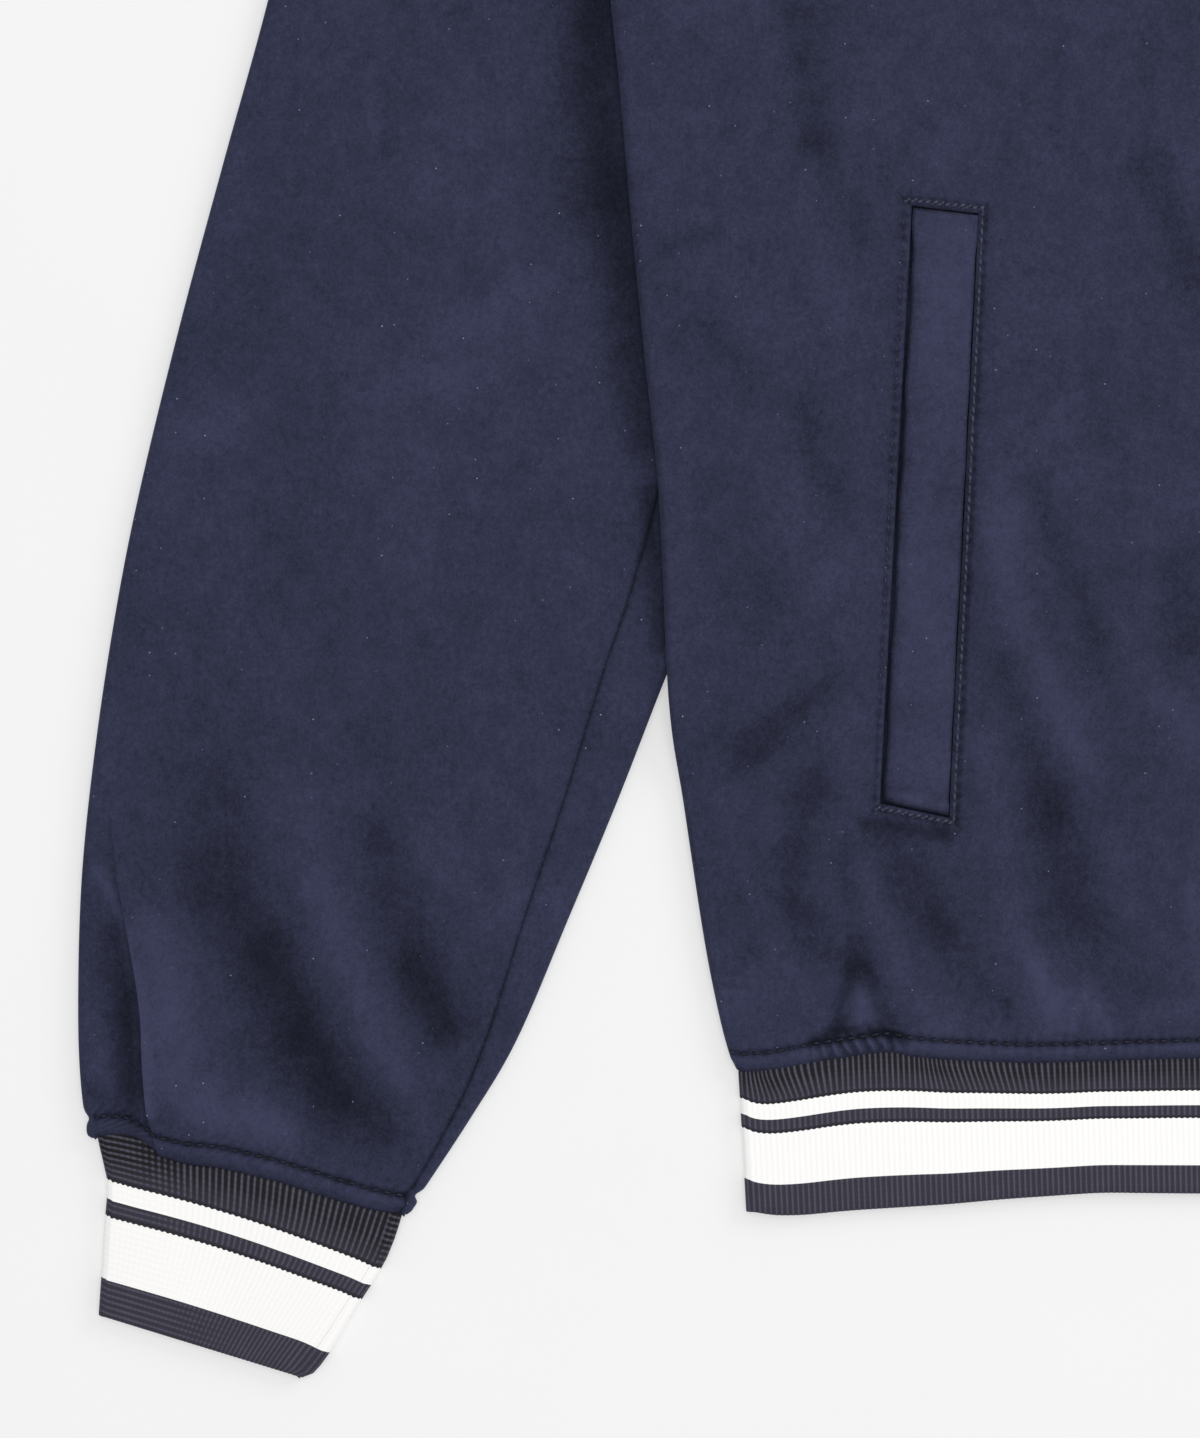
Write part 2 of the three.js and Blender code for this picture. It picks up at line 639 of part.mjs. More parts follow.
const materials = {
  cloth: new THREE.MeshStandardMaterial({ color: 0x34364c, roughness: 0.95, metalness: 0 }),
  rib: new THREE.MeshStandardMaterial({ color: 0x403f4e, roughness: 0.9, metalness: 0 }),
  snap: new THREE.MeshStandardMaterial({ color: 0x2b2c3c, roughness: 0.45, metalness: 0 }),
};
const garment = new THREE.Group();
function addPiece(name, geometry, material) {
  const mesh = new THREE.Mesh(geometry, material);
  mesh.name = name;
  garment.add(mesh);
  return mesh;
}

addPiece("back", makeBack(), materials.cloth);
addPiece("front_right", makeRightFront(), materials.cloth);
addPiece("front_left", makeLeftFront(), materials.cloth);
addPiece("hem_rib", makeHemBand(), materials.rib);
addPiece("collar", makeCollar(), materials.rib);
for (const side of ["right", "left"]) {
  const isLeft = side === "left";
  const welt = isLeft ? mirrored(weltGrid()) : weltGrid();
  addPiece("sleeve_" + side, makeSleeve(isLeft), materials.cloth);
  addPiece("cuff_" + side, makeCuff(isLeft), materials.rib);
  addPiece("pocket_welt_" + side, wallUnder(welt, clothWall), materials.cloth);
}
const placketTop = layered + overlapRise + seamGap;
const hemTop = ribTop + hemRise + ribRelief + seamGap;
for (let count = 0; count < snapCount; count++) {
  const y = mix(placketSnaps.lowest, placketSnaps.highest, count / (snapCount - 1));
  addPiece("snap_" + (count + 1), makeSnap(), materials.snap).position.set(0, y, placketTop);
}
const hemMiddle = (bodyPlace(0, neckColumn + 1, true).y + lineThrough(hemEdge)(0)) / 2;
addPiece("snap_" + (snapCount + 1), makeSnap(), materials.snap).position.set(0, hemMiddle, hemTop);

// The origin is the middle of the garment's outline, on the surface it lies on.
garment.updateMatrixWorld(true);
const middle = new THREE.Box3().setFromObject(garment, true).getCenter(new THREE.Vector3());
garment.position.set(-middle.x, -middle.y, 0);

export default garment;
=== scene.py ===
# %% [markdown]
# # A varsity jacket, laid flat
# A dark navy jacket in sueded microfibre lies on its back on a pale floor, front up, seen from
# straight above, close to the wearer's right sleeve and pocket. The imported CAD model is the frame:
# every cloth panel here is the same panel again, with a finer surface, real ribs and real stitches.

# %% Load the frame
import math

import bpy
import numpy as np
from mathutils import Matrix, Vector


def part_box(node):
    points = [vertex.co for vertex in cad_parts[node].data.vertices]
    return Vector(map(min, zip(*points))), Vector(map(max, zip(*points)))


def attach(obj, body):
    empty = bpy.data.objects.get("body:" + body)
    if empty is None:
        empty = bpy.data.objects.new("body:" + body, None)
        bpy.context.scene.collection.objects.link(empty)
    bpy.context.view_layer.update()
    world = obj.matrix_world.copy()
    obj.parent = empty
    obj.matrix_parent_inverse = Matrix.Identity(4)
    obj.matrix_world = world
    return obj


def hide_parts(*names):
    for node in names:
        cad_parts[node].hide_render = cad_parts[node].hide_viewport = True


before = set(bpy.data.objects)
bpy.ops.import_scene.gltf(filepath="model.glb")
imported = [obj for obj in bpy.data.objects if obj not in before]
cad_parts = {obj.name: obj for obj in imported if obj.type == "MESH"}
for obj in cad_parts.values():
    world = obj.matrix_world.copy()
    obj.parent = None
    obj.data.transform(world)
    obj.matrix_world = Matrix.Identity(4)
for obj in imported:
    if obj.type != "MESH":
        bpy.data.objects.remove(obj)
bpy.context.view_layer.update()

# %% [markdown]
# ## Camera
# The photograph looks straight down at a garment on the floor. Its frame is 387 mm wide and 464 mm
# high, so a 100 mm lens on a 36 mm sensor, whose long side is upright here, hangs 1.29 m above.

# %% The camera looks straight down
MM = 0.001
MIDDLE_Y = 338.1  # garment sizes start at the hem; the frame's origin is the middle of the outline
VIEW = {"x": -277.4, "y": 159.0, "z": 5.0, "height": 463.9, "lens": 100.0, "sensor": 36.0}

camera_data = bpy.data.cameras.new("overhead_camera")
camera_data.lens = VIEW["lens"]
camera_data.sensor_width = VIEW["sensor"]
camera_data.clip_start = 0.05
camera = bpy.data.objects.new("overhead_camera", camera_data)
bpy.context.collection.objects.link(camera)
camera_height = VIEW["height"] * VIEW["lens"] / VIEW["sensor"] + VIEW["z"]
camera.location = (VIEW["x"] * MM, (VIEW["y"] - MIDDLE_Y) * MM, camera_height * MM)
bpy.context.scene.camera = camera
print("camera at", [round(v, 4) for v in camera.location])

# %% [markdown]
# ## Sizes
# A pattern cutter works from a table of points. These tables, in millimetres, are the ones that the
# CAD panels are cut from: rows from the hem to the shoulder, and stations down the sleeve. A smooth
# curve through each column of a table gives every point between its rows.

# %% Tables of the cut
CLOTH = 1.8
RIB_WALL = 1.7
RIB_RELIEF = 0.4
RIB_PITCH = 1.8
SEAM_GAP = 0.3
LAYERED = 4.8  # two layers of cloth and the air between them
LEAST_INNER = 0.3  # how far the inner face of a wall stays above the floor
FOLD = LAYERED / 2
RIB_TOP = LAYERED - RIB_RELIEF
RIB_FOLD = RIB_TOP / 2
OVERLAP = 14.0
OVERLAP_RISE = CLOTH + SEAM_GAP
SLEEVE_RISE = LAYERED + SEAM_GAP
HEM_RISE = RIB_WALL + RIB_RELIEF + SEAM_GAP
ARMPIT_ROW, SLEEVE_TOP_ROW, SHOULDER_ROW = 9, 11, 15
POCKET_LOW, POCKET_HIGH = 3, 7
NECK = {"half": 88.0, "y": 680.0, "front": 95.0, "back": 22.0, "end": 0.85}
COLLAR = {"half": 80.0, "y": 730.0, "height": 52.0, "tucked": 0.15}
ARMHOLE_TUCKED = 0.15  # a seam shows no gap: one edge lies under the other

ROW_NAMES = (
    "sideX", "sideY", "outerX", "outerY", "innerX", "innerY", "neckX", "neckY", "frontY", "backY",
)
LOWER_ROWS = [
    (-233.9, 47.1, -188.5, 51.2, -167.5, 49.4, -93, 48.9, 48.6, 48.6),
    (-238.5, 62, -188.3, 66, -167, 64, -93, 63, 63, 63),
    (-243.6, 87, -187.9, 89, -166.2, 87, -93, 86, 86, 86),
    (-250.4, 131.7, -187.1, 131.7, -164.7, 127.1, -92.5, 127, 127, 127),
    (-255.3, 165, -185.4, 165, -163.1, 161, -92, 160, 160, 160),
    (-258.4, 230, -182, 229, -159.9, 226, -91, 226, 226, 226),
    (-263.2, 277, -179.4, 277, -157.6, 274, -90.5, 274, 274, 274),
    (-267.8, 324.6, -176.9, 324.6, -155.3, 322.1, -90, 322, 322, 322),
    (-271.5, 366, -175.8, 363, -154, 361, -89.5, 359, 357, 359),
    (-276, 408, -175, 402, -153, 400, -89, 396, 392, 396),
]
UPPER_ROWS = [
    (-276, 408, -175, 402, -153, 400, -89, 396, 392, 396),
    (-256, 427, -178, 420, -156, 418, -89, 414, 408, 416),
    (-240, 457, -180, 449, -157, 446, -89, 440, 430, 446),
    (-229.5, 505, -181, 495, -158, 492, -89, 484, 466, 496),
    (-227, 560, -181, 552, -158, 549, -88, 540, 506, 550),
    (-231, 600, -181, 600, -158, 604, -88, 600, 545, 600),
    (-238, 634, -180, 651.8, -157, 658.8, -88, 680, 585, 658),
]
SLEEVE_NAMES = ("innerX", "innerY", "outerX", "outerY", "seam")
SLEEVE_STATIONS = [
    (-240, 457, -238, 634, 6), (-245, 437, -300, 592, 12), (-247, 415, -345, 531, 18),
    (-244, 388, -368, 460, 22), (-238, 345, -384.8, 391, 24), (-232, 295, -399, 339.4, 24),
    (-234, 240, -412.9, 287.7, 23), (-245, 199, -425.5, 236.1, 22),
    (-256.5, 171.6, -433.4, 197, 20), (-271.6, 132.9, -440.3, 152, 17),
    (-287.7, 94.2, -445, 107, 14), (-304.2, 55.5, -446.1, 62, 10),
    (-319.4, 29.7, -444.6, 35, 6), (-339.7, -1, -441.3, 22.9, 3.4),
]
CUFF_STATIONS = [
    (-341.05, -1.05, -440.1, 22.25, 4), (-349.5, -21.3, -437.9, -3, 4),
    (-373.5, -53.8, -439.5, -33.5, 4),
]
HEM_HALF = {"top": 232.6, "bottom": 230.0}
HEM_EDGE = [
    (-230, 0.6), (-224, -1.2), (-213, -1.3), (-197, 0.3), (-165, 2.3),
    (-148, 3.9), (-116, 6.1), (-87, 5.8), (0, 5.5), (14, 5.5),
]
print(len(LOWER_ROWS) + len(UPPER_ROWS) - 1, "body rows,", len(SLEEVE_STATIONS), "sleeve stations")


# %% Curves through a table
def soft(low, high, value):
    part = np.clip((value - low) / (high - low), 0, 1)
    return part * part * (3 - 2 * part)


def mix(start, end, part):
    return start + (end - start) * part


def fade(low, high, value):
    return 1 - soft(low, high, value)


def near(distance, at, width):
    return np.exp(-(((distance - at) / width) ** 2))


def curve_through(values):
    values = np.asarray(values, float)
    last = len(values) - 1

    def at(place):
        place = np.clip(np.asarray(place, float), 0, last)
        start = np.minimum(np.floor(place).astype(int), last - 1)
        part = place - start
        before, here = values[np.maximum(start - 1, 0)], values[start]
        after, beyond = values[start + 1], values[np.minimum(start + 2, last)]
        leave, arrive = (after - before) / 2, (beyond - here) / 2
        cubic = 2 * here - 2 * after + leave + arrive
        square = 3 * after - 3 * here - 2 * leave - arrive
        return ((cubic * part + square) * part + leave) * part + here

    return at


def curves_of(names, rows):
    return {name: curve_through([row[i] for row in rows]) for i, name in enumerate(names)}


lower, upper = curves_of(ROW_NAMES, LOWER_ROWS), curves_of(ROW_NAMES, UPPER_ROWS)
sleeve_curves = curves_of(SLEEVE_NAMES, SLEEVE_STATIONS)
cuff_curves = curves_of(SLEEVE_NAMES, CUFF_STATIONS)


def body_value(name, row):
    return np.where(row <= ARMPIT_ROW, lower[name](row), upper[name](row - ARMPIT_ROW))


def neck_place(part, is_front):
    depth, reach, past = NECK["back"], 1.0, 0.0
    if is_front:
        depth, reach = NECK["front"], NECK["end"]
        past = np.maximum(0, part - reach) / (1 - reach) * OVERLAP
    angle = np.minimum(part / reach, 1) * math.pi / 2
    return past - NECK["half"] * np.cos(angle), NECK["y"] - depth * np.sin(angle)


def body_place(row, column, is_front):
    row, column = np.broadcast_arrays(np.asarray(row, float), np.asarray(column, float))
    names = ("side", "outer", "inner", "neck")
    keys = [[body_value(name + axis, row) for name in names] for axis in "XY"]
    keys[0].append(np.full_like(row, OVERLAP if is_front else 0))
    keys[1].append(body_value("frontY" if is_front else "backY", row))
    before = np.minimum(np.floor(column).astype(int), 3)
    part = column - before
    share = np.where(before == 3, soft(SHOULDER_ROW - 1.6, SHOULDER_ROW, row), 0)
    starts, bends, ends = [neck_place(at, is_front) for at in (part * 0, part, part * 0 + 1)]
    place = []
    for axis in (0, 1):
        lines = np.stack(keys[axis])
        first = np.take_along_axis(lines, before[None], 0)[0]
        second = np.take_along_axis(lines, before[None] + 1, 0)[0]
        straight = mix(starts[axis], ends[axis], part)
        place.append(mix(first, second, part) + (bends[axis] - straight) * share)
    return place


print("armpit at", [round(float(v), 1) for v in body_place(ARMPIT_ROW, 0, True)])

# %% [markdown]
# ## Creases
# Cloth that is laid down by hand keeps soft creases: troughs where the sleeve folds above the cuff,
# puckers where the hem gathers. A crease is a line of points with a half width, a height and a tone.
# The tone is painted shade and highlight: each crease darkens the cloth's colour where it sinks and
# lightens it where it rises, for the shading of the folds. All are given in millimetres from the centre
# line and the hem. The sleeve's first three are painted shadow only: the shade that the body's edge
# casts on it.

# %% Creases of the right sleeve and the right front: points, half width, height, painted tone
SLEEVE_CREASES = [
    ([(-287, 402), (-284, 362), (-280, 332)], 15, 0.0, -0.12),
    ([(-280, 402), (-277.5, 350), (-273, 318), (-267, 284), (-263, 250)], 9, 0.0, -0.28),
    ([(-262, 232), (-259, 206), (-256.5, 182)], 3.4, 0.0, -0.26),
    ([(-401, 104), (-392, 90), (-382, 69), (-373, 51), (-364, 38)], 14, -0.7, -0.2),
    ([(-384, 84), (-371, 54), (-361, 38), (-350, 27)], 9.5, -0.8, -0.21),
    ([(-394, 134), (-397, 108)], 6, -0.2, -0.06),
    ([(-409, 142), (-400, 120)], 13, -0.4, -0.08),
    ([(-350, 122), (-343, 96), (-336, 76), (-328, 60)], 9, -0.6, -0.2),
    ([(-337, 79), (-328, 60)], 6.5, -0.5, -0.17),
    ([(-433, 90), (-431, 62), (-430, 42)], 6, -0.5, -0.24),
    ([(-429.5, 72), (-428, 32)], 3.6, -0.4, -0.2),
    ([(-438, 51), (-436, 42)], 3.4, 0.5, 0.12),
    ([(-441, 39), (-434, 32)], 2.6, -0.4, -0.14),
    ([(-440, 110), (-434.5, 101), (-429, 88), (-425, 70), (-423, 50), (-422, 32)], 2.0, 0.4, 0.26),
    ([(-421, 90), (-417, 66), (-413, 44)], 10, 0.8, 0.2),
    ([(-404, 34), (-392, 30), (-379, 26)], 7, 0.8, 0.24),
    ([(-370, 106), (-357, 77), (-350, 58), (-342, 42)], 5.5, 0.8, 0.12),
    ([(-334, 126), (-326, 112)], 9, 0.5, 0.1),
    ([(-347, 364), (-345, 344)], 2.4, -0.5, -0.1),
    ([(-351.5, 368), (-350, 346)], 2.0, 0.4, 0.09),
    ([(-330, 284), (-302, 297)], 6, 0.5, 0.09),
    ([(-408, 250), (-400, 258)], 8, 0.4, 0.1),
    ([(-356, 262), (-318, 268)], 6, 0.4, 0.06),
    ([(-390, 300), (-366, 312)], 15, -0.4, -0.07),
    ([(-402, 236), (-384, 216)], 12, -0.3, -0.06),
    ([(-386, 156), (-345, 150)], 16, -0.4, -0.05),
]
FRONT_CREASES = [
    ([(-212, 384), (-211, 362), (-208, 346)], 8, -0.7, -0.18),
    ([(-208, 346), (-203, 332), (-194, 313)], 5, -0.5, -0.11),
    ([(-256, 311), (-240, 315)], 2.6, -0.4, -0.16),
    ([(-229, 311), (-227, 307)], 3.5, -0.2, -0.09),
    ([(-244, 287), (-229, 265)], 7, -0.5, -0.11),
    ([(-213, 258), (-208, 244), (-200, 227)], 5.8, -0.6, -0.16),
    ([(-226, 202), (-223, 198)], 10, -0.3, -0.09),
    ([(-198, 208), (-218, 189)], 5, 0.4, 0.07),
    ([(-202, 170), (-217, 159), (-232, 146)], 6, -0.6, -0.18),
    ([(-209, 139), (-215, 118), (-216, 101), (-207, 86), (-199, 81)], 6.5, -0.6, -0.18),
    ([(-200, 118), (-198, 101), (-195, 90)], 3.4, -0.4, -0.12),
    ([(-101, 338), (-94, 320), (-84, 303)], 7.5, -0.6, -0.18),
    ([(-129, 375), (-131, 345)], 2.6, -0.3, -0.08),
    ([(-149, 225), (-145, 196), (-136, 172), (-122, 146)], 6.5, 0.8, 0.16),
    ([(-136, 234), (-130, 212), (-120, 191), (-116, 174)], 4.4, -0.5, -0.14),
    ([(-134, 248), (-128, 262)], 3.2, 0.3, 0.07),
    ([(-146, 176), (-138, 150), (-132, 128)], 6.5, -0.6, -0.15),
    ([(-133, 131), (-127, 110), (-121, 97)], 11, -0.7, -0.19),
    ([(-127, 100), (-114, 80), (-108, 72)], 8, -0.4, -0.09),
    ([(-90, 208), (-88, 182)], 8.5, -0.6, -0.19),
    ([(-96, 166), (-86, 152)], 5, 0.4, 0.12),
    ([(-155, 150), (-149, 118), (-144, 90), (-136, 70)], 4.5, 0.6, 0.09),
    ([(-184, 118), (-174, 104), (-167, 91), (-153, 70)], 9, -0.6, -0.15),
    ([(-169, 94), (-166, 90)], 5, -0.2, -0.08),
    ([(-191, 112), (-184, 88), (-174, 68)], 3.5, 0.6, 0.09),
    ([(-191, 125), (-166, 121.5)], 2.6, -0.5, -0.3),
    ([(-194.6, 86), (-194.6, 76)], 4.2, -0.6, -0.13),
    ([(-196.5, 78), (-201.5, 60)], 2.9, -0.9, -0.24),
    ([(-191.5, 79), (-183.5, 58)], 3.1, -1.0, -0.28),
    ([(-194, 69), (-193, 60)], 3.0, 1.1, 0.23),
    ([(-209, 55), (-200, 58.5), (-190, 59), (-180, 55)], 1.7, -0.9, -0.35),
    ([(-146.5, 68), (-145, 62)], 2.4, -0.6, -0.2),
    ([(-137, 80), (-130, 61)], 2.8, 0.8, 0.26),
    ([(-127, 70), (-124, 60)], 2.2, 0.7, 0.26),
    ([(-121, 70), (-115, 59)], 2.8, 0.8, 0.26),
    ([(-152, 66), (-150, 60)], 2.4, 0.6, 0.14),
    ([(-236, 63), (-218, 78)], 6, 0.5, 0.09),
    ([(-104, 62), (-86, 66)], 4, 0.5, 0.12),
    ([(-86, 104), (-84, 76)], 4, 0.4, 0.11),
    ([(-60, 100), (-40, 330)], 14, -0.5, -0.07),
    ([(-150, 430), (-190, 470), (-214, 520)], 10, -0.7, -0.11),
    ([(-120, 560), (-96, 500), (-100, 440)], 12, 0.6, 0.08),
]


# %% What the creases add at a place
def creases_at(creases, x, y):
    height, tone = np.zeros_like(x), np.zeros_like(x)
    for line, width, rise, lean in creases:
        nearest = np.full_like(x, np.inf)
        for (x0, y0), (x1, y1) in zip(line, line[1:]):
            run_x, run_y = x1 - x0, y1 - y0
            along = np.clip(((x - x0) * run_x + (y - y0) * run_y) / (run_x**2 + run_y**2), 0, 1)
            nearest = np.minimum(nearest, np.hypot(x - x0 - along * run_x, y - y0 - along * run_y))
        close = near(nearest, 0, width)
        height += rise * close
        # tone: painted shade where lean is below 0, a painted highlight where it is above.
        tone += lean * close
    return height, tone


def undulation(x, y, seed, shortest, longest, count=16):
    random = np.random.default_rng(seed)
    total = np.zeros_like(x)
    for _ in range(count):
        length, angle = random.uniform(shortest, longest), random.uniform(0, math.pi)
        phase = random.uniform(0, 2 * math.pi)
        total += np.sin((x * math.cos(angle) + y * math.sin(angle)) * 2 * math.pi / length + phase)
    return total / math.sqrt(count)


# The wearer's left has creases of its own: the same kinds, moved and a little weaker.
# The first few of a list go together: a sleeve's shades, a front's above the hem or at the welt.
SHADES, ABOVE_HEM, AT_WELT = 3, 25, 11


def creases_moved(creases, shift_x, shift_y, strength):
    return [
        ([(x + shift_x, y + shift_y) for x, y in line], width, rise * strength, lean * strength)
        for line, width, rise, lean in creases
    ]


LEFT_SLEEVE_CREASES = SLEEVE_CREASES[:SHADES] + creases_moved(SLEEVE_CREASES[SHADES:], 7, 16, 0.85)
LEFT_FRONT_CREASES = creases_moved(FRONT_CREASES[:ABOVE_HEM], -9, 13, 0.9)
LEFT_FRONT_CREASES += creases_moved(FRONT_CREASES[ABOVE_HEM:], 34, 0, 0.8)
print(len(SLEEVE_CREASES) + len(FRONT_CREASES), "creases on the right side")

# %% [markdown]
# ## A wall of cloth
# Each panel is a grid of outer points. A wall of even thickness goes under it, every free edge is
# closed by a rim, and a window can be left open for the pocket. This is plain mesh code, because
# the grid's rows and columns are what the seams, stitches and ribs are later placed by.


# %% From a grid of points to a closed cloth piece
def outward(grid):
    normal = np.cross(np.gradient(grid, axis=1), np.gradient(grid, axis=0))
    return normal / np.maximum(np.linalg.norm(normal, axis=2, keepdims=True), 1e-9)


def wall_faces(rows, columns, is_cell):
    number = np.arange(rows * columns).reshape(rows, columns)
    a, b, c, d = number[:-1, :-1], number[:-1, 1:], number[1:, 1:], number[1:, :-1]
    under = rows * columns
    faces = [np.stack([a, b, c, d], -1)[is_cell], np.stack([d, c, b, a], -1)[is_cell] + under]
    around = np.pad(is_cell, 1)
    for down, right, first, second in ((-1, 0, b, a), (0, 1, c, b), (1, 0, d, c), (0, -1, a, d)):
        is_rim = is_cell & ~around[1 + down : rows + down, 1 + right : columns + right]
        start, end = first[is_rim], second[is_rim]
        faces.append(np.stack([start, end, end + under, start + under], -1))
    return np.concatenate(faces)


def turned_over(grid):
    """The same columns on the wearer's left, in the order that keeps the outer face outside."""
    return np.ascontiguousarray(grid[:, ::-1]) * (-1, 1, 1)


def make_piece(name, points, faces, material):
    mesh = bpy.data.meshes.new(name)
    mesh.from_pydata(((points - (0, MIDDLE_Y, 0)) * MM).tolist(), [], faces)
    mesh.polygons.foreach_set("use_smooth", np.ones(len(faces), bool))
    mesh.materials.append(material)
    piece = bpy.data.objects.new(name, mesh)
    bpy.context.collection.objects.link(piece)
    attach(piece, "root")
    print(name, len(faces), "faces")
    return piece


def make_wall(
    name, grid, thickness, material, values, uv=None, limit=None, is_cell=None, mirror=False
):
    """limit: np.maximum or np.minimum, and the level that the inner face stays above or below."""
    rows, columns = grid.shape[:2]
    if is_cell is None:
        is_cell = np.ones((rows - 1, columns - 1), bool)
    if mirror:
        grid, is_cell = turned_over(grid), is_cell[:, ::-1]
        values = {label: value[:, ::-1] for label, value in values.items()}
        uv = uv and [part[:, ::-1] for part in uv]
        limit = limit and (limit[0], limit[1][:, ::-1])
    cell = np.cross(grid[1:, 1:] - grid[:-1, :-1], grid[1:, :-1] - grid[:-1, 1:])
    sizes = [
        np.linalg.norm(np.diff(grid, axis=axis), axis=2).sum(axis).max().round() for axis in (1, 0)
    ]
    print(name, round(np.linalg.norm(cell, axis=2).sum() / 2e6, 4), "m2, across and along", sizes)
    inner = grid - outward(grid) * thickness
    if limit:
        inner[..., 2] = limit[0](inner[..., 2], limit[1])
    inner[..., 2] = np.maximum(inner[..., 2], LEAST_INNER)
    used, faces = np.unique(wall_faces(rows, columns, is_cell), return_inverse=True)
    faces = faces.reshape(-1, 4)
    points = np.concatenate([grid.reshape(-1, 3), inner.reshape(-1, 3)])[used]
    piece = make_piece(name, points, faces.tolist(), material)
    piece.data.set_sharp_from_angle(angle=math.radians(55))
    if uv is not None:
        both = np.tile(np.stack(uv, -1).reshape(-1, 2), (2, 1))[used]
        piece.data.uv_layers.new(name="UVMap").data.foreach_set("uv", both[faces.ravel()].ravel())
    for label, value in values.items():
        both = np.tile(value.ravel(), 2)[used]
        piece.data.attributes.new(label, "FLOAT", "POINT").data.foreach_set("value", both)
    return piece


# %% [markdown]
# ## Materials
# The jacket has four finishes: sueded microfibre, rib knit, sewing thread and lacquered snap caps.
# Each is drawn by nodes. Colours are given as they look on a screen and turned to linear light.


# %% One function for a colour and one for a node
def linear(hex_colour):
    values = [int(hex_colour[i : i + 2], 16) / 255 for i in (1, 3, 5)]
    return (*[v / 12.92 if v <= 0.04045 else ((v + 0.055) / 1.055) ** 2.4 for v in values], 1.0)


def fill(node, sockets):
    for socket, value in sockets.items():
        if isinstance(value, bpy.types.NodeSocket):
            node.id_data.links.new(value, node.inputs[socket])
        else:
            node.inputs[socket].default_value = value


def add_node(tree, kind, sockets=None, out=0, **settings):
    """Adds a node, sets and links its sockets, and gives the output asked for, or else the node."""
    node = tree.nodes.new("ShaderNode" + kind)
    for name, value in settings.items():
        setattr(node, name, value)
    fill(node, sockets or {})
    return node if out is None else node.outputs[out]


def new_material(name):
    material = bpy.data.materials.new(name)
    material.use_nodes = True
    tree = material.node_tree
    tree.nodes.clear()
    surface = add_node(tree, "BsdfPrincipled", out=None)
    add_node(tree, "OutputMaterial", {"Surface": surface.outputs["BSDF"]}, out=None)
    return material, tree, surface


PER_MM = 1000.0  # a noise of scale PER_MM / size has features of about that many millimetres
STITCH_PITCH = 3.9  # mm from one stitch to the next
# In a Mix node of colours, sockets 6 and 7 are its two colours, and output 2 is their mixture.

# %% [markdown]
# ### Sueded microfibre
# Brushed polyester has a nap of very short fibres. It scatters light softly, with a faint sheen at
# glancing angles, and its tone drifts where a hand has brushed it: clouds of 42 mm, patches of
# 9 mm and a grain below 1 mm. A few light specks of lint sit on it, as on any dark cloth. Beside a
# row of stitches it puckers: "pucker" says how much, "along" how far along the row, in mm.

# %% Sueded microfibre
suede, tree, surface = new_material("sueded_microfibre_navy")
place = add_node(tree, "TexCoord", out="Object")
nap_and_shade, pucker, along = [
    add_node(tree, "Attribute", out="Fac", attribute_name=label)
    for label in ("nap_and_shade", "pucker", "along")
]
uneven = add_node(tree, "TexNoise", {"Vector": place, "Scale": PER_MM / 11})
along = add_node(tree, "Math", {0: uneven, 1: 4.0, 2: along}, operation="MULTIPLY_ADD")
turns = add_node(tree, "Math", {0: along, 1: 2 * math.pi / STITCH_PITCH}, operation="MULTIPLY")
pleat = add_node(tree, "Math", {0: turns}, operation="SINE")
pleat = add_node(tree, "Math", {0: pleat, 1: pucker}, operation="MULTIPLY")
# Painted shade and highlight enter the colour here: the attribute read first carries the creases' and
# seams' painted shade and highlight with the cloth's own tone, and each pucker's flanks are painted
# lighter and darker.
tone = add_node(tree, "Math", {0: pleat, 1: 0.1, 2: nap_and_shade}, operation="MULTIPLY_ADD")
brushed = add_node(tree, "VectorMath", {0: place, 1: (1.2, 1.0, 1.0)}, operation="MULTIPLY")
for size, detail, amount in ((42, 3, 0.3), (9, 4, 0.28), (2.4, 3, 0.36), (0.9, 1.5, 0.42)):
    grain = add_node(
        tree, "TexNoise", {"Vector": brushed, "Scale": PER_MM / size, "Detail": detail}
    )
    offset = add_node(tree, "Math", {0: grain, 1: 0.5}, operation="SUBTRACT")
    tone = add_node(tree, "Math", {0: offset, 1: amount, 2: tone}, operation="MULTIPLY_ADD")
# The darkest colour stands for painted shade, the lightest for painted highlights and light brushed
# patches.
span = {"Value": tone, "From Min": -0.62, "From Max": 0.62}
level = add_node(tree, "MapRange", span, interpolation_type="SMOOTHSTEP")
colours = {0: level, 6: linear("#0e111e"), 7: linear("#3f425d")}
cloth_colour = add_node(tree, "Mix", colours, out=2, data_type="RGBA")

# %% Lint, pleats and fibres on the microfibre
LINT_SPACING, LINT_REACH = 4.4, 0.055  # mm, and a speck's radius as a part of that, 0.24 mm
lint = add_node(tree, "TexVoronoi", {"Vector": place, "Scale": PER_MM / LINT_SPACING}, out=None)
is_lint = add_node(
    tree, "Math", {0: lint.outputs["Distance"], 1: LINT_REACH}, operation="LESS_THAN"
)
brightness = add_node(tree, "SeparateColor", {0: lint.outputs["Color"]})
few_bright = add_node(tree, "Math", {0: brightness, 1: 3.2}, operation="POWER")
lint_amount = add_node(tree, "Math", {0: is_lint, 1: few_bright}, operation="MULTIPLY")
colours = {0: lint_amount, 6: cloth_colour, 7: linear("#85889c")}
cloth_colour = add_node(tree, "Mix", colours, out=2, data_type="RGBA")
pleats = add_node(tree, "Bump", {"Height": pleat, "Strength": 1.0, "Distance": 0.00035})
fibres = add_node(
    tree, "Bump", {"Height": grain, "Strength": 0.5, "Distance": 0.00025, "Normal": pleats}
)
fill(surface, {
    "Base Color": cloth_colour, "Normal": fibres, "Roughness": 0.92, "Specular IOR Level": 0.15,
    "Sheen Weight": 0.14, "Sheen Roughness": 0.45, "Sheen Tint": linear("#a9b2d6"),
})
print(suede.name, len(tree.nodes), "nodes")
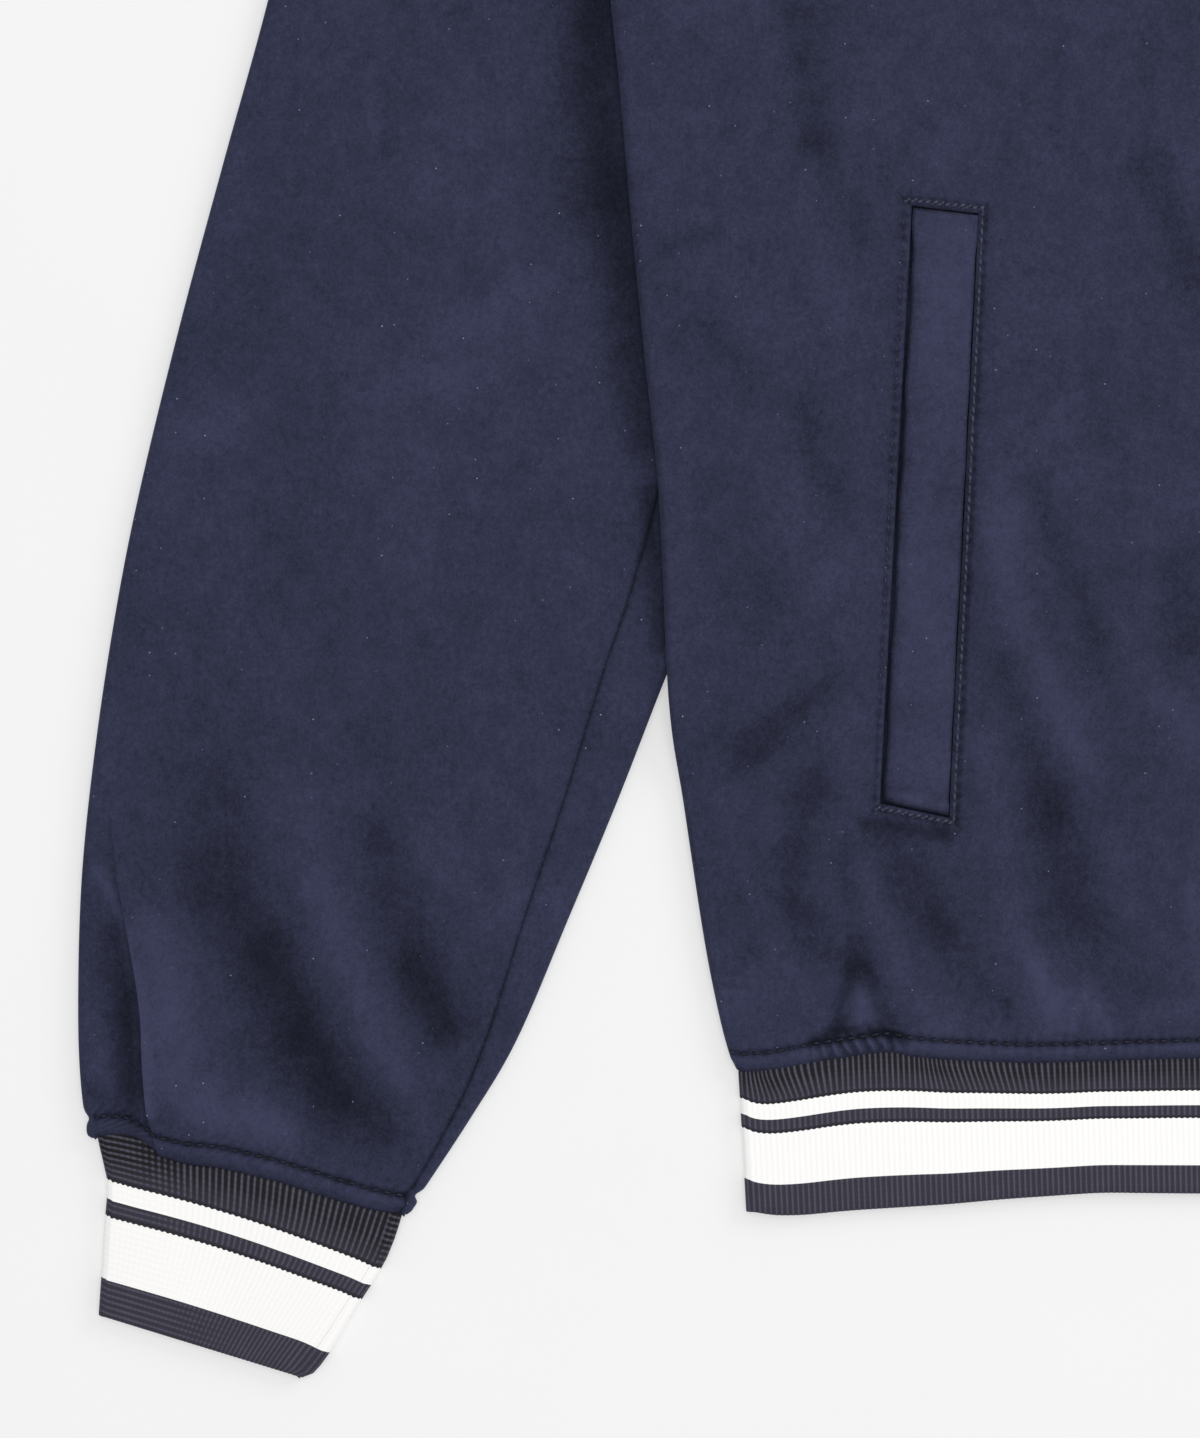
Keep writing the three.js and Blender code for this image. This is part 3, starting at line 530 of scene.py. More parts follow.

# %% [markdown]
# ### Rib knit
# A 1x1 rib stands in ridges 1.8 mm apart, in polyester yarn with a dull gloss. The ridges are real
# in the mesh, and the colour adds painted shade in the grooves and a painted highlight on the crests.
# Its UV map counts ribs along the band and runs from the seam, 0, to the free edge, 1, so two white
# stripes are cut out by the second number, and each stripe's upper edge is jagged by the loops, with
# a darker line just above it. Under the seam the rib is stretched, and its grooves are painted
# darkest there, as painted shade under the seam. Towards a fold the knit is slack, and its courses
# show instead of its ribs, painted darker between them.

# %% Rib knit: ridges, courses and stripes
STRIPES = ((0.235, 0.343), (0.437, 0.786))  # white, as parts of the band's height from its seam
COURSES = 30  # rows of loops over a band's height, 1.6 to 1.9 mm each
BORDER, JAGGED_BY = 0.016, 0.006  # parts of that height: the dark line, the loops in the edge
rib_knit, tree, surface = new_material("rib_knit_navy_and_white")
rib_uv = add_node(tree, "UVMap", uv_map="UVMap")
rib_uv = add_node(tree, "SeparateXYZ", {0: rib_uv}, out=None).outputs
slack = add_node(tree, "Attribute", out="Fac", attribute_name="slack")
reliefs = []
for counted, turns in ((rib_uv[0], 1), (rib_uv[1], COURSES)):
    turn = add_node(tree, "Math", {0: counted, 1: 2 * math.pi * turns}, operation="MULTIPLY")
    wave = add_node(tree, "Math", {0: turn}, operation="COSINE")
    reliefs.append(add_node(tree, "Math", {0: wave, 1: 0.5, 2: 0.5}, operation="MULTIPLY_ADD"))
ridge, course = reliefs
painted_rib_shade = add_node(tree, "Mix", {0: slack, 2: ridge, 3: course})
painted_rib_shade = add_node(tree, "Math", {0: painted_rib_shade, 1: 2.0}, operation="POWER")
jagged = add_node(tree, "Math", {0: ridge, 1: JAGGED_BY, 2: rib_uv[1]}, operation="MULTIPLY_ADD")
white = border = 0.0
for start, end in STRIPES:
    nears, begins = [
        add_node(tree, "Math", {0: jagged, 1: start + past}, operation="GREATER_THAN")
        for past in (-BORDER, JAGGED_BY / 2)
    ]
    ends = add_node(tree, "Math", {0: rib_uv[1], 1: end}, operation="LESS_THAN")
    stripe = add_node(tree, "Math", {0: begins, 1: ends}, operation="MULTIPLY")
    above = add_node(tree, "Math", {0: nears, 1: begins}, operation="SUBTRACT")
    white = add_node(tree, "Math", {0: white, 1: stripe}, operation="ADD")
    border = add_node(tree, "Math", {0: border, 1: above}, operation="ADD")
at_border = add_node(tree, "Math", {0: border, 1: 0.7}, operation="MULTIPLY")

# %% Rib knit: colours of its yarn
yarn_and_rib_shade = add_node(
    tree, "TexNoise", {"Vector": add_node(tree, "TexCoord", out="Object"), "Scale": PER_MM / 6}
)
yarn_and_rib_shade = add_node(tree, "Math", {0: yarn_and_rib_shade, 1: 0.5, 2: painted_rib_shade}, operation="MULTIPLY_ADD")
yarn_and_rib_shade = add_node(tree, "MapRange", {"Value": yarn_and_rib_shade, "From Min": 0.4, "From Max": 1.3})
near_seam = {"Value": rib_uv[1], "From Min": 0.08, "From Max": 0.25, "To Min": 1.0, "To Max": 0.0}
shade_near_seam = add_node(tree, "MapRange", near_seam)
# The groove and ridge colours are painted shade and highlight: grooves dark, darkest under the seam,
# crests light; the white is shaded the same way, a little.
colour = {
    "groove": (shade_near_seam, linear("#2d2c38"), linear("#05050b")),
    "ridge": (shade_near_seam, linear("#4c4b59"), linear("#4f4e5d")),
    "navy": (yarn_and_rib_shade, "groove", "ridge"),
    "bordered": (at_border, "navy", linear("#101017")),
    "light": (yarn_and_rib_shade, linear("#f6f5f3"), linear("#faf9f7")),
    "striped": (white, "bordered", "light"),
}
for label, (part, *two) in colour.items():
    first, second = [colour[item] if isinstance(item, str) else item for item in two]
    colour[label] = add_node(tree, "Mix", {0: part, 6: first, 7: second}, out=2, data_type="RGBA")
loops = add_node(tree, "Bump", {"Height": course, "Strength": 0.08, "Distance": 0.0002})
fill(surface, {
    "Base Color": colour["striped"], "Normal": loops,
    "Roughness": 0.8, "Specular IOR Level": 0.3, "Sheen Weight": 0.05,
})
print(rib_knit.name, len(tree.nodes), "nodes")

# %% [markdown]
# ### Thread and snap caps
# Core-spun polyester thread is twisted, so fine diagonal bands of painted shade run round it. The
# thread of the hem, the cuffs and the placket is coloured darker than its own navy, as painted shade
# of the dip that each stitch sinks into. A snap cap is pressed brass under a coat of dark lacquer,
# smooth and slightly marked by handling.

# %% Thread
def thread_material(name, dark, light):
    material, tree, surface = new_material(name)
    twist = {
        "Vector": add_node(tree, "TexCoord", out="Object"), "Scale": PER_MM / 4, "Distortion": 2.0
    }
    band = add_node(tree, "TexWave", twist, out="Fac", bands_direction="DIAGONAL")
    colours = {0: band, 6: linear(dark), 7: linear(light)}
    colour = add_node(tree, "Mix", colours, out=2, data_type="RGBA")
    fill(surface, {"Base Color": colour, "Roughness": 0.6, "Specular IOR Level": 0.3})
    return material


# Painted shade: this thread is coloured darker than it is, for the shadow in the dips of its stitches.
thread_dark_as_shade = thread_material("core_spun_thread_navy_darkened_as_shade", "#10111c", "#1f2133")
pocket_thread = thread_material("heavy_thread_navy", "#262839", "#3f4258")

# %% Lacquered snap cap
lacquer, tree, surface = new_material("lacquered_brass_navy")
place = add_node(tree, "TexCoord", out="Object")
marks = add_node(tree, "TexNoise", {"Vector": place, "Scale": PER_MM / 1.5, "Detail": 5})
colours = {0: marks, 6: linear("#242536"), 7: linear("#31334a")}
fill(surface, {
    "Base Color": add_node(tree, "Mix", colours, out=2, data_type="RGBA"),
    "Roughness": add_node(tree, "MapRange", {"Value": marks, "To Min": 0.28, "To Max": 0.5}),
    "Coat Weight": 0.5, "Coat Roughness": 0.15,
})
print(thread_dark_as_shade.name, pocket_thread.name, lacquer.name)

# %% [markdown]
# ## The fronts and the back
# A front panel is seen over its whole face, so its grid is fine: about 3 mm, and below 1 mm along
# the hem stitching and round the pocket window. Its upper face stands up a little between its seams,
# rolls down at the side seam, and sinks along each line of stitches.


# %% Where the rows and columns of a front go
def divided(marks, lengths, step):
    parts = [
        np.linspace(start, end, max(1, math.ceil(length / step)), endpoint=False)
        for start, end, length in zip(marks, marks[1:], lengths)
    ]
    return np.concatenate([*parts, marks[-1:]])


def merged(*lists):
    return np.unique(np.round(np.concatenate([np.atleast_1d(item) for item in lists]), 5))


FRONT_STEP, BACK_STEP = 3.2, 5.0
ALL_ROWS, ALL_COLUMNS = np.arange(SHOULDER_ROW + 1.0), np.arange(5.0)
ROW_HEIGHTS = np.diff(body_value("innerY", ALL_ROWS))
COLUMN_WIDTHS = np.array([88.0, 23.0, 66.0, 106.0])
ROUND_PARTS = np.array([0, 0.035, 0.13, 0.29, 0.5, 0.74, 1.0])  # across a rounded edge
COLUMNS_PER_MM, ROWS_PER_MM = 0.0125, 0.022
side_round = ROUND_PARTS * FOLD * COLUMNS_PER_MM
top_round = SHOULDER_ROW - ROUND_PARTS * FOLD * ROWS_PER_MM
window_rows = np.concatenate(
    [row + np.linspace(-0.13, 0.13, 13) for row in (POCKET_LOW, POCKET_HIGH)]
)
front_rows = merged(
    divided(ALL_ROWS, ROW_HEIGHTS, FRONT_STEP), np.arange(0, 0.7, 0.04),
    window_rows, top_round, 14.97, 14.93,
)
front_columns = merged(
    divided(ALL_COLUMNS, COLUMN_WIDTHS, FRONT_STEP),
    side_round,
    1 - np.linspace(0, 0.06, 8),
    2 + np.linspace(0, 0.08, 8),
    4 - np.array([0.003, 0.008, 0.014, 0.02]),
)
back_rows = merged(divided(ALL_ROWS, ROW_HEIGHTS, BACK_STEP), top_round)
back_columns = merged(divided(ALL_COLUMNS, COLUMN_WIDTHS, BACK_STEP), side_round)
print(len(front_rows), "rows and", len(front_columns), "columns on a front")

# %% Heights of the body
HEM_SEAM = [
    (-234, 45.4), (-230, 44.9), (-222, 45.3), (-216, 46.4), (-207, 48.2), (-199, 49.4),
    (-191, 50.7), (-184, 51.4), (-177, 49.9), (-164, 48.8), (-149, 48.1), (-138, 47.7), (-126, 48),
    (-103, 48.8), (-84, 49.3), (-60, 48.8), (14, 48.6),
]
HEM_CORNER = 2.2
HEM_STITCH = 6.2  # the row of stitches, above the hem band
SEAM_DIP, SEAM_REACH = 0.9, 1.6  # how deep the cloth sinks into a seam, and how near it
LOWEST, HIGHEST = -0.95, 3.2  # how far creases may lower or raise the cloth
PLACKET = {"column": 3.72, "from": 0.35, "to": 14.2}  # its row of stitches
# Millimetres to a column or row beside the pocket window, at the neck and at a sleeve's top.
POCKET_MM = {"left": 72, "right": 67, "low": 40, "high": 39}
NECK_MM, ARMHOLE_MM = 42, 75
FAR = 50  # mm, where an edge is too far off to matter


def sleeve_lift(row, column):
    up = soft(3, 4, row) * fade(SLEEVE_TOP_ROW, SLEEVE_TOP_ROW + 1.5, row)
    return SLEEVE_RISE * fade(0.55, 1, column) * up


def rounded(distance):
    return np.sqrt(np.maximum(0, 1 - (1 - np.clip(distance / FOLD, 0, 1)) ** 2))


def body_half_height(row, column):
    side = mix(rounded(column / COLUMNS_PER_MM), 1, soft(ARMPIT_ROW + 1, SLEEVE_TOP_ROW, row))
    top = np.where(column > 3, 1, rounded((SHOULDER_ROW - row) / ROWS_PER_MM))
    return np.maximum(FOLD * side * top, SEAM_GAP / 2)


def hem_wave(x, y, row):
    """Moves the lowest rows so that the hem seam waves as a gathered seam does."""
    straight_x, straight_y = body_place(0.0, front_columns, True)
    seam_x, seam_y = np.array(HEM_SEAM).T
    wave = np.interp(x, seam_x, seam_y) - np.interp(x, straight_x, straight_y)
    from_corner = np.clip(x - straight_x[0], 0, HEM_CORNER)
    corner = HEM_CORNER - np.sqrt(HEM_CORNER**2 - (HEM_CORNER - from_corner) ** 2)
    return y + wave * fade(0, 1.6, row) + corner * fade(0, 0.4, row)


def front_surface(rows, columns, rise, creases, seed):
    row, column = rows[:, None], columns[None, :]
    x, y = body_place(row, column, True)
    row, column = np.broadcast_arrays(row, column)
    y = hem_wave(x, y, row)
    from_side, from_centre = soft(0.03, 0.4, column), fade(3.2, 3.6, column)
    full = 1.5 * from_side * from_centre * soft(0, 1.2, row) * fade(13, 14.5, row)
    inside = soft(0.01, 0.08, column) * fade(3.85, 3.97, column) * fade(14.3, 14.9, row)
    folds, tone = creases_at(creases, x, y)
    waves = undulation(x, y, seed, 28, 90) * 0.28 + undulation(x, y, seed + 1, 9, 24) * 0.07
    above_hem = soft(0, 0.45, row)
    height = full + np.clip((folds + waves * above_hem) * inside, LOWEST - full, HIGHEST)
    steps = np.hypot(np.diff(x, axis=0), np.diff(y, axis=0))
    from_hem = np.concatenate([np.zeros((1, x.shape[1])), np.cumsum(steps, 0)])
    gathered = 0.6 + 0.9 * near(x, -192, 14) + 0.5 * near(x, -130, 22)
    ruched = 0.5 * near(from_hem, HEM_STITCH, 3.6) * gathered
    bunched = np.exp(-(((x + 194) / 14) ** 4))
    ruched += 1.7 * bunched * soft(0, 1.6, from_hem) * fade(4.4, 6.6, from_hem)
    groove = near(from_hem, HEM_STITCH, 1.0)
    height += 0.5 * near(from_hem, 3.2, 1.9) - 0.75 * groove
    height -= 1.5 * fade(-1.5, 2.2, from_hem)
    # Painted shade in the stitch groove and along the hem seam, and a painted highlight on the puffed
    # strip between them.
    tone = tone - (0.3 + 0.25 * bunched) * groove + 0.08 * near(from_hem, 3.9, 1.5)
    tone = tone - 0.3 * fade(-0.5, 1.6, from_hem)
    # Edges that roll down: the armhole seam, the neckline and the placket's fold.
    to_armhole = column * COLUMN_WIDTHS[0]
    to_armhole = to_armhole + 40 * fade(SLEEVE_TOP_ROW - 0.5, SLEEVE_TOP_ROW + 0.5, row)
    to_neck = np.where(column > 3, (SHOULDER_ROW - row) * NECK_MM, FAR)
    height -= SEAM_DIP * near(to_armhole, 0, SEAM_REACH)
    height -= 1.0 * fade(-1.2, 1.8, (4 - column) * COLUMN_WIDTHS[3])
    height -= SEAM_DIP * near(to_neck, 0, SEAM_REACH)
    # The cloth sinks a little under the stitches round the pocket window, and is painted darker there
    # and along the window's edge, as painted shade.
    left, right = (1 - column) * POCKET_MM["left"], (column - 2) * POCKET_MM["right"]
    low, high = (POCKET_LOW - row) * POCKET_MM["low"], (row - POCKET_HIGH) * POCKET_MM["high"]
    beyond = np.maximum(np.maximum(left, right), np.maximum(low, high))
    outside = beyond > -0.5
    ring = near(beyond, 2.2, 0.8)
    height += 0.25 * near(beyond, 0.9, 0.7) - 0.4 * ring
    height -= 0.7 * fade(-0.8, 1.4, beyond) * outside
    tone = tone - (0.1 + 0.12 * (beyond == right)) * ring - 0.06 * near(beyond, 2, 4)
    tone = tone - 0.2 * fade(-0.5, 0.9, beyond) * outside
    ruched += 0.75 * near(beyond, 1.6, 1.3) * soft(0, 1, row)
    is_side = (np.maximum(left, right) > np.maximum(low, high)) & (row > 1.5)
    along = np.where(is_side, y, x + 0.6 * from_hem * bunched * (row < 1.5))
    z = FOLD + body_half_height(row, column) + sleeve_lift(row, column) + height
    z = z + rise * soft(3.4, 3.7, column)
    return np.stack([x, y, z], -1), tone, from_hem, {"pucker": ruched, "along": along}


# %% The fronts: rise, creases and seed of each
RIGHT_FRONT, LEFT_FRONT = (0, FRONT_CREASES, 3), (OVERLAP_RISE, LEFT_FRONT_CREASES, 11)
row_cell, column_cell = [(marks[:-1] + marks[1:]) / 2 for marks in (front_rows, front_columns)]
in_rows = (row_cell > POCKET_LOW) & (row_cell < POCKET_HIGH)
in_columns = (column_cell > 1) & (column_cell < 2)
is_window = in_rows[:, None] & in_columns[None, :]
seam_level = FOLD + SEAM_GAP / 2 + sleeve_lift(front_rows[:, None], front_columns[None, :])


def make_front(name, rise, creases, seed, mirror):
    grid, nap_and_shade, from_hem, gathers = front_surface(front_rows, front_columns, rise, creases, seed)
    front = make_wall(
        name, grid, CLOTH, suede, {"nap_and_shade": nap_and_shade, **gathers},
        limit=(np.maximum, seam_level), is_cell=~is_window, mirror=mirror,
    )
    return front, grid, from_hem


front_right, right_grid, right_from_hem = make_front("front_right_cloth", *RIGHT_FRONT, False)
front_left, left_grid, left_from_hem = make_front("front_left_cloth", *LEFT_FRONT, True)


# %% The back, with its outer face underneath
def back_surface(rows, columns):
    row, column = np.broadcast_arrays(rows[:, None], columns[None, :])
    x, y = body_place(row, column, False)
    y = hem_wave(x, y, row)
    return np.stack([x, y, sleeve_lift(row, column) + FOLD - body_half_height(row, column)], -1)


half_back = back_surface(back_rows, back_columns)
back_grid = np.concatenate([half_back, turned_over(half_back)[:, 1:]], 1)[:, ::-1]
back_level = FOLD - SEAM_GAP / 2 + sleeve_lift(back_rows[:, None], back_columns[None, :])
back_level = np.concatenate([back_level, back_level[:, -2::-1]], 1)
back_tone = undulation(back_grid[..., 0], back_grid[..., 1], 21, 30, 110) * 0.04
back = make_wall(
    "back_cloth", back_grid, CLOTH, suede, {"nap_and_shade": back_tone}, limit=(np.minimum, back_level)
)

# %% [markdown]
# ## The pocket welts
# A welt is a folded strip that closes the pocket's window, sewn along its inner long side. The other
# side is the opening, so a dark gap shows there. The strip is slightly crowned and a little lighter
# than the front, because its nap has been pressed.

# %% The welts
WELT_WIDTH = 22.2
WELT_GAP = {"opening": 1.3, "sewn": 0.4, "ends": 0.6}
WELT_MM = {"low": 34, "high": 48, "middle": 38}  # to a row, at its ends and between them
END_ROWS = np.array([0.01, 0.02, 0.035, 0.06])
welt_rows = merged(
    divided(np.arange(POCKET_LOW, POCKET_HIGH + 1.0), ROW_HEIGHTS[POCKET_LOW:POCKET_HIGH], 3.0),
    POCKET_LOW + END_ROWS, POCKET_HIGH - END_ROWS,
)
welt_columns = np.array(
    [0, 0.02, 0.05, 0.1, 0.18, 0.3, 0.42, 0.54, 0.66, 0.78, 0.88, 0.94, 0.975, 1.0]
)


def make_welt(name, creases, seed, mirror):
    start = POCKET_LOW + WELT_GAP["ends"] / WELT_MM["low"]
    end = POCKET_HIGH - WELT_GAP["ends"] / WELT_MM["high"]
    row = np.interp(welt_rows, [POCKET_LOW, POCKET_HIGH], [start, end])
    column = 1 + mix(
        WELT_GAP["opening"] / WELT_WIDTH, 1 - WELT_GAP["sewn"] / WELT_WIDTH, welt_columns
    )
    grid, tone = front_surface(row, column, 0, creases[:AT_WELT], seed)[:2]
    row, column = row[:, None], welt_columns[None, :]
    uneven = 0.22 * np.sin(row * 7.3) + 0.12 * np.sin(row * 17 + 1)
    uneven = uneven - 0.9 * soft(POCKET_HIGH - 0.35, POCKET_HIGH - 0.08, row)
    grid[..., 0] += uneven * fade(0, 0.4, column) + 0.1 * np.sin(row * 11) * soft(0.6, 1, column)
    # Near the top the sewn edge is caught close under the front, so no line shows.
    caught = soft(POCKET_HIGH - 0.32, POCKET_HIGH - 0.2, row) * soft(0.9, 1, column)
    grid[..., 0] += 0.4 * caught
    across = np.minimum(column, 1 - column) * WELT_WIDTH
    edge = np.minimum(across, np.minimum(row - start, end - row) * WELT_MM["middle"])
    pinch = near(row, start, 0.25) * near(column, 0, 0.25)
    bow = np.sin(math.pi * column) * 0.35
    grid[..., 2] += bow - 0.25 - 0.9 * fade(-1.0, 1.3, edge) - 0.5 * pinch
    # Painted shade: darker along the welt's edges beside the gaps, at its pinched lower corner, and
    # under the front's upper edge.
    shade = 0.12 * fade(0.5, 5, column * WELT_WIDTH) * fade(POCKET_HIGH - 0.3, POCKET_HIGH, row)
    edge_painted_shade = 0.3 * fade(0, 1.3, edge) * (1 - 0.55 * soft(0.7, 0.9, column)) * (1 - 0.8 * caught)
    tone = tone * 0.5 + 0.11 - 0.12 * pinch - edge_painted_shade - shade
    return make_wall(name, grid, CLOTH, suede, {"nap_and_shade": tone}, mirror=mirror)


welt_right = make_welt("pocket_welt_right_cloth", *RIGHT_FRONT[1:], False)
welt_left = make_welt("pocket_welt_left_cloth", *LEFT_FRONT[1:], True)

# %% [markdown]
# ## The sleeves
# A sleeve is one piece of cloth closed by its underarm seam, which shows on the upper face as a fine
# groove. Pressed flat it is a tube: the grid goes from the seam over the top, round the outer edge,
# back underneath and round the inner edge. Near the cuff a tuck laps the upper cloth over itself.

# %% Places across a sleeve or cuff
TUCK = {
    "starts": 9.2, "full": 11.1,  # rings
    "least": 6.0, "inset": 21.5, "rise": 2.4, "spread": 22.0, "lap": 1.3,  # mm
}
CUFF_WAVE = [
    (0, 0), (0.05, -0.9), (0.14, -1.2), (0.26, -0.6), (0.41, 0.8), (0.6, 0.9), (0.7, -0.3),
    (0.775, 0.1), (0.81, 1.8), (0.86, 4.2), (0.93, 3.4), (1, 0.6),
]
SLEEVE_END = len(SLEEVE_STATIONS) - 1
CUFF_STITCH = 6.9
FOLD_ANGLES = np.radians([75, 60, 45, 30, 15, 0, -15, -30, -45, -60, -75])


def tuck_inset(ring):
    return mix(TUCK["least"], TUCK["inset"], soft(TUCK["starts"], TUCK["full"], ring))


def edges_at(curves, ring):
    inner = np.stack([curves["innerX"](ring), curves["innerY"](ring)], -1)
    outer = np.stack([curves["outerX"](ring), curves["outerY"](ring)], -1)
    return inner, outer, np.linalg.norm(outer - inner, axis=-1)


def tube_columns(ring, curves, thickness, top_parts, under_count, gap=SEAM_GAP):
    """Part of the width and height of every column, ring by ring, and which columns are on top."""
    width = edges_at(curves, ring)[2]
    radius = thickness / 2
    edge, seam = radius / width, curves["seam"](ring) / width
    part, height, is_top = [], [], []

    def column(at, z, top):
        part.append(np.broadcast_to(at, ring.shape))
        height.append(np.full(ring.shape, z))
        is_top.append(top)

    for share in top_parts(ring, width, seam, edge):
        column(share, thickness, True)
    for angle in FOLD_ANGLES:
        column(1 - edge * (1 - math.cos(angle)), radius * (1 + math.sin(angle)), False)
    for share in np.linspace(0, 1, under_count + 1):
        column(mix(1 - edge, edge, share), 0.0, False)
    for angle in FOLD_ANGLES[::-1]:
        column(edge * (1 - math.cos(angle)), radius * (1 + math.sin(angle)), False)
    for share in (0, 0.2, 0.4, 0.6, 0.75, 0.87, 0.94, 1):
        column(mix(edge, seam - gap / width, share), thickness, True)
    return np.stack(part, 1), np.stack(height, 1), np.array(is_top)


def from_last_row(x, y):
    steps = np.hypot(np.diff(x, axis=0), np.diff(y, axis=0))[::-1]
    return np.concatenate([np.zeros((1, x.shape[1])), np.cumsum(steps, 0)])[::-1]


# %% Columns over the top of a sleeve
def sleeve_top_parts(ring, width, seam, edge):
    tuck_at = 1 - tuck_inset(ring) / width
    near_seam = [seam + away / width for away in (0, 0.4, 0.8, 1.4, 2.2, 3.2)]
    start, end = seam + 3.2 / width, tuck_at - 9 / width
    even = [mix(start, end, share) for share in np.linspace(0, 1, 46)[1:-1]]
    at_tuck = [
        tuck_at - away / width for away in (9, 7, 5.5, 4.2, 3.2, 2.4, 1.8, 1.3, 0.9, 0.6, 0.3, 0)
    ]
    outside = [mix(tuck_at, 1 - edge, share) for share in (0.06, 0.14, 0.25, 0.4, 0.6, 0.8, 1)]
    return near_seam + even + at_tuck + outside


def sleeve_bend(ring, part):
    row = mix(float(SLEEVE_TOP_ROW), float(SHOULDER_ROW), part)
    first = SLEEVE_STATIONS[0]
    bend_x = body_value("sideX", row) + ARMHOLE_TUCKED - mix(first[0], first[2], part)
    bend_y = body_value("sideY", row) - mix(first[1], first[3], part)
    return bend_x * fade(0, 3.5, ring), bend_y * fade(0, 3.5, ring)


def sleeve_surface(rings, creases, seed):
    inner, outer, width = edges_at(sleeve_curves, rings)
    part, z, is_top = tube_columns(rings, sleeve_curves, LAYERED, sleeve_top_parts, 22, gap=0.12)
    ring, width = np.broadcast_to(rings[:, None], part.shape), width[:, None]
    bend_x, bend_y = sleeve_bend(ring, part)
    x = mix(inner[:, None, 0], outer[:, None, 0], part) + bend_x
    y = mix(inner[:, None, 1], outer[:, None, 1], part) + bend_y
    wave_part, wave = np.array(CUFF_WAVE).T
    y = y + np.interp(part, wave_part, wave) * soft(SLEEVE_END - 1.1, SLEEVE_END, ring)
    from_end = from_last_row(x, y)
    free = soft(8, 10, ring)
    inner_fade = soft(mix(0.27, 0.04, free), mix(0.5, 0.2, free), part)
    fullness = 1.6 * (1 + 0.7 * free) * inner_fade * fade(0.8, 0.96, part)
    fullness = fullness * soft(0, 2, ring) * fade(SLEEVE_END - 0.9, SLEEVE_END, ring)
    folds, tone = creases_at(creases, x, y)
    waves = undulation(x, y, seed, 26, 90) * 0.3 + undulation(x, y, seed + 1, 9, 24) * 0.07
    visible = soft(0.17, 0.3, part + 0.3 * soft(7, 9, ring))
    inside = visible * fade(0.93, 0.985, part) * soft(0, 1, ring) * soft(2, 9, from_end)
    height = fullness + np.clip((folds + waves) * inside, LOWEST - fullness, HIGHEST)
    # The tuck's crest leans out over the lower cloth beside it.
    away = (1 - part) * width - tuck_inset(ring)
    grown = soft(TUCK["starts"], TUCK["full"], ring)
    grown = grown * (1 - 0.45 * soft(SLEEVE_END - 1, SLEEVE_END, ring))
    crest = soft(0, 0.9, away) * near(np.maximum(away - 1.5, 0), 0, TUCK["spread"]) * grown
    height += TUCK["rise"] * crest
    lap = TUCK["lap"] * grown * soft(0.2, 0.9, away) * near(np.maximum(away - 0.9, 0), 0, 2.2)
    out_x, out_y = (outer - inner)[:, None, 0] / width, (outer - inner)[:, None, 1] / width
    # Painted shadow on the lower cloth along the foot of the tuck's crest.
    tone = tone - 0.3 * grown**2 * near(away, -0.6, 1.0)
    # The stitches nip the two side edges, and the cloth below them bulges out over the cuff.
    nip = near(from_end - CUFF_STITCH, 0.3, 1.6)
    bulge = 0.55 * soft(-0.5, 1.5, from_end) * fade(4.5, 6.6, from_end)
    lobe = 1.15 * soft(-0.4, 0.7, from_end) * fade(1.0, 6.6, from_end)
    side = 1.3 * ((nip - bulge) * soft(0.2, 0, part) - (nip * 0.8 - lobe) * soft(0.93, 1, part))
    # Stitches above the cuff, with small puckers, and the roll of the cloth into the seam.
    gathered = 0.5 + 0.5 * soft(0.78, 0.84, part)
    pucker = gathered * near(from_end - CUFF_STITCH, -0.8, 4.0) * is_top
    groove = near(from_end, CUFF_STITCH, 1.0)
    height += 0.5 * near(from_end, 3.6, 2.0) - 0.8 * groove
    height -= 1.4 * fade(-1.5, 2.2, from_end) + SEAM_DIP * near(ring * ARMHOLE_MM, 0, SEAM_REACH)
    # Painted shade in the stitch groove and at the cuff seam, and a painted highlight on the strip
    # between them.
    tone = tone - 0.32 * groove + 0.08 * near(from_end, 4.2, 1.5)
    tone = tone - 0.3 * fade(-0.5, 1.6, from_end)
    # The underarm seam: a groove, with painted shade along it.
    from_seam = np.abs(part * width - sleeve_curves["seam"](ring))
    seam_dip = near(from_seam, 0, 0.75)
    height -= 0.55 * seam_dip
    tone = tone - 0.2 * seam_dip - 0.05 * near(from_seam, 0, 4)
    on_top = is_top[None, :]
    x = x + np.where(on_top, lap, 0) * out_x + side * out_x
    y = y + np.where(on_top, lap, 0) * out_y + side * out_y
    grid = np.stack([x, y, z + np.where(on_top, height, 0)], -1)
    gathers = {"pucker": pucker, "along": part * width}
    return grid, np.where(on_top, tone, 0), from_end, is_top, gathers


# %% The sleeves
SLEEVE_STEP = 3.2
ring_marks = np.arange(SLEEVE_END + 1.0)
ring_lengths = np.linalg.norm(np.diff(edges_at(sleeve_curves, ring_marks)[1], axis=0), axis=1)
ring_lengths[-2:] = (34, 36)  # the inner edge is the longer one there
rings = merged(
    divided(ring_marks, ring_lengths, SLEEVE_STEP), np.arange(12.3, 13, 0.02), [0.012, 0.03]
)


def make_sleeve(name, creases, seed, mirror):
    grid, nap_and_shade, from_cuff, is_top, gathers = sleeve_surface(rings, creases, seed)
    sleeve = make_wall(name, grid, CLOTH, suede, {"nap_and_shade": nap_and_shade, **gathers}, mirror=mirror)
    top_count = int(np.argmin(is_top))
    return sleeve, grid[:, :top_count], from_cuff[:, :top_count]


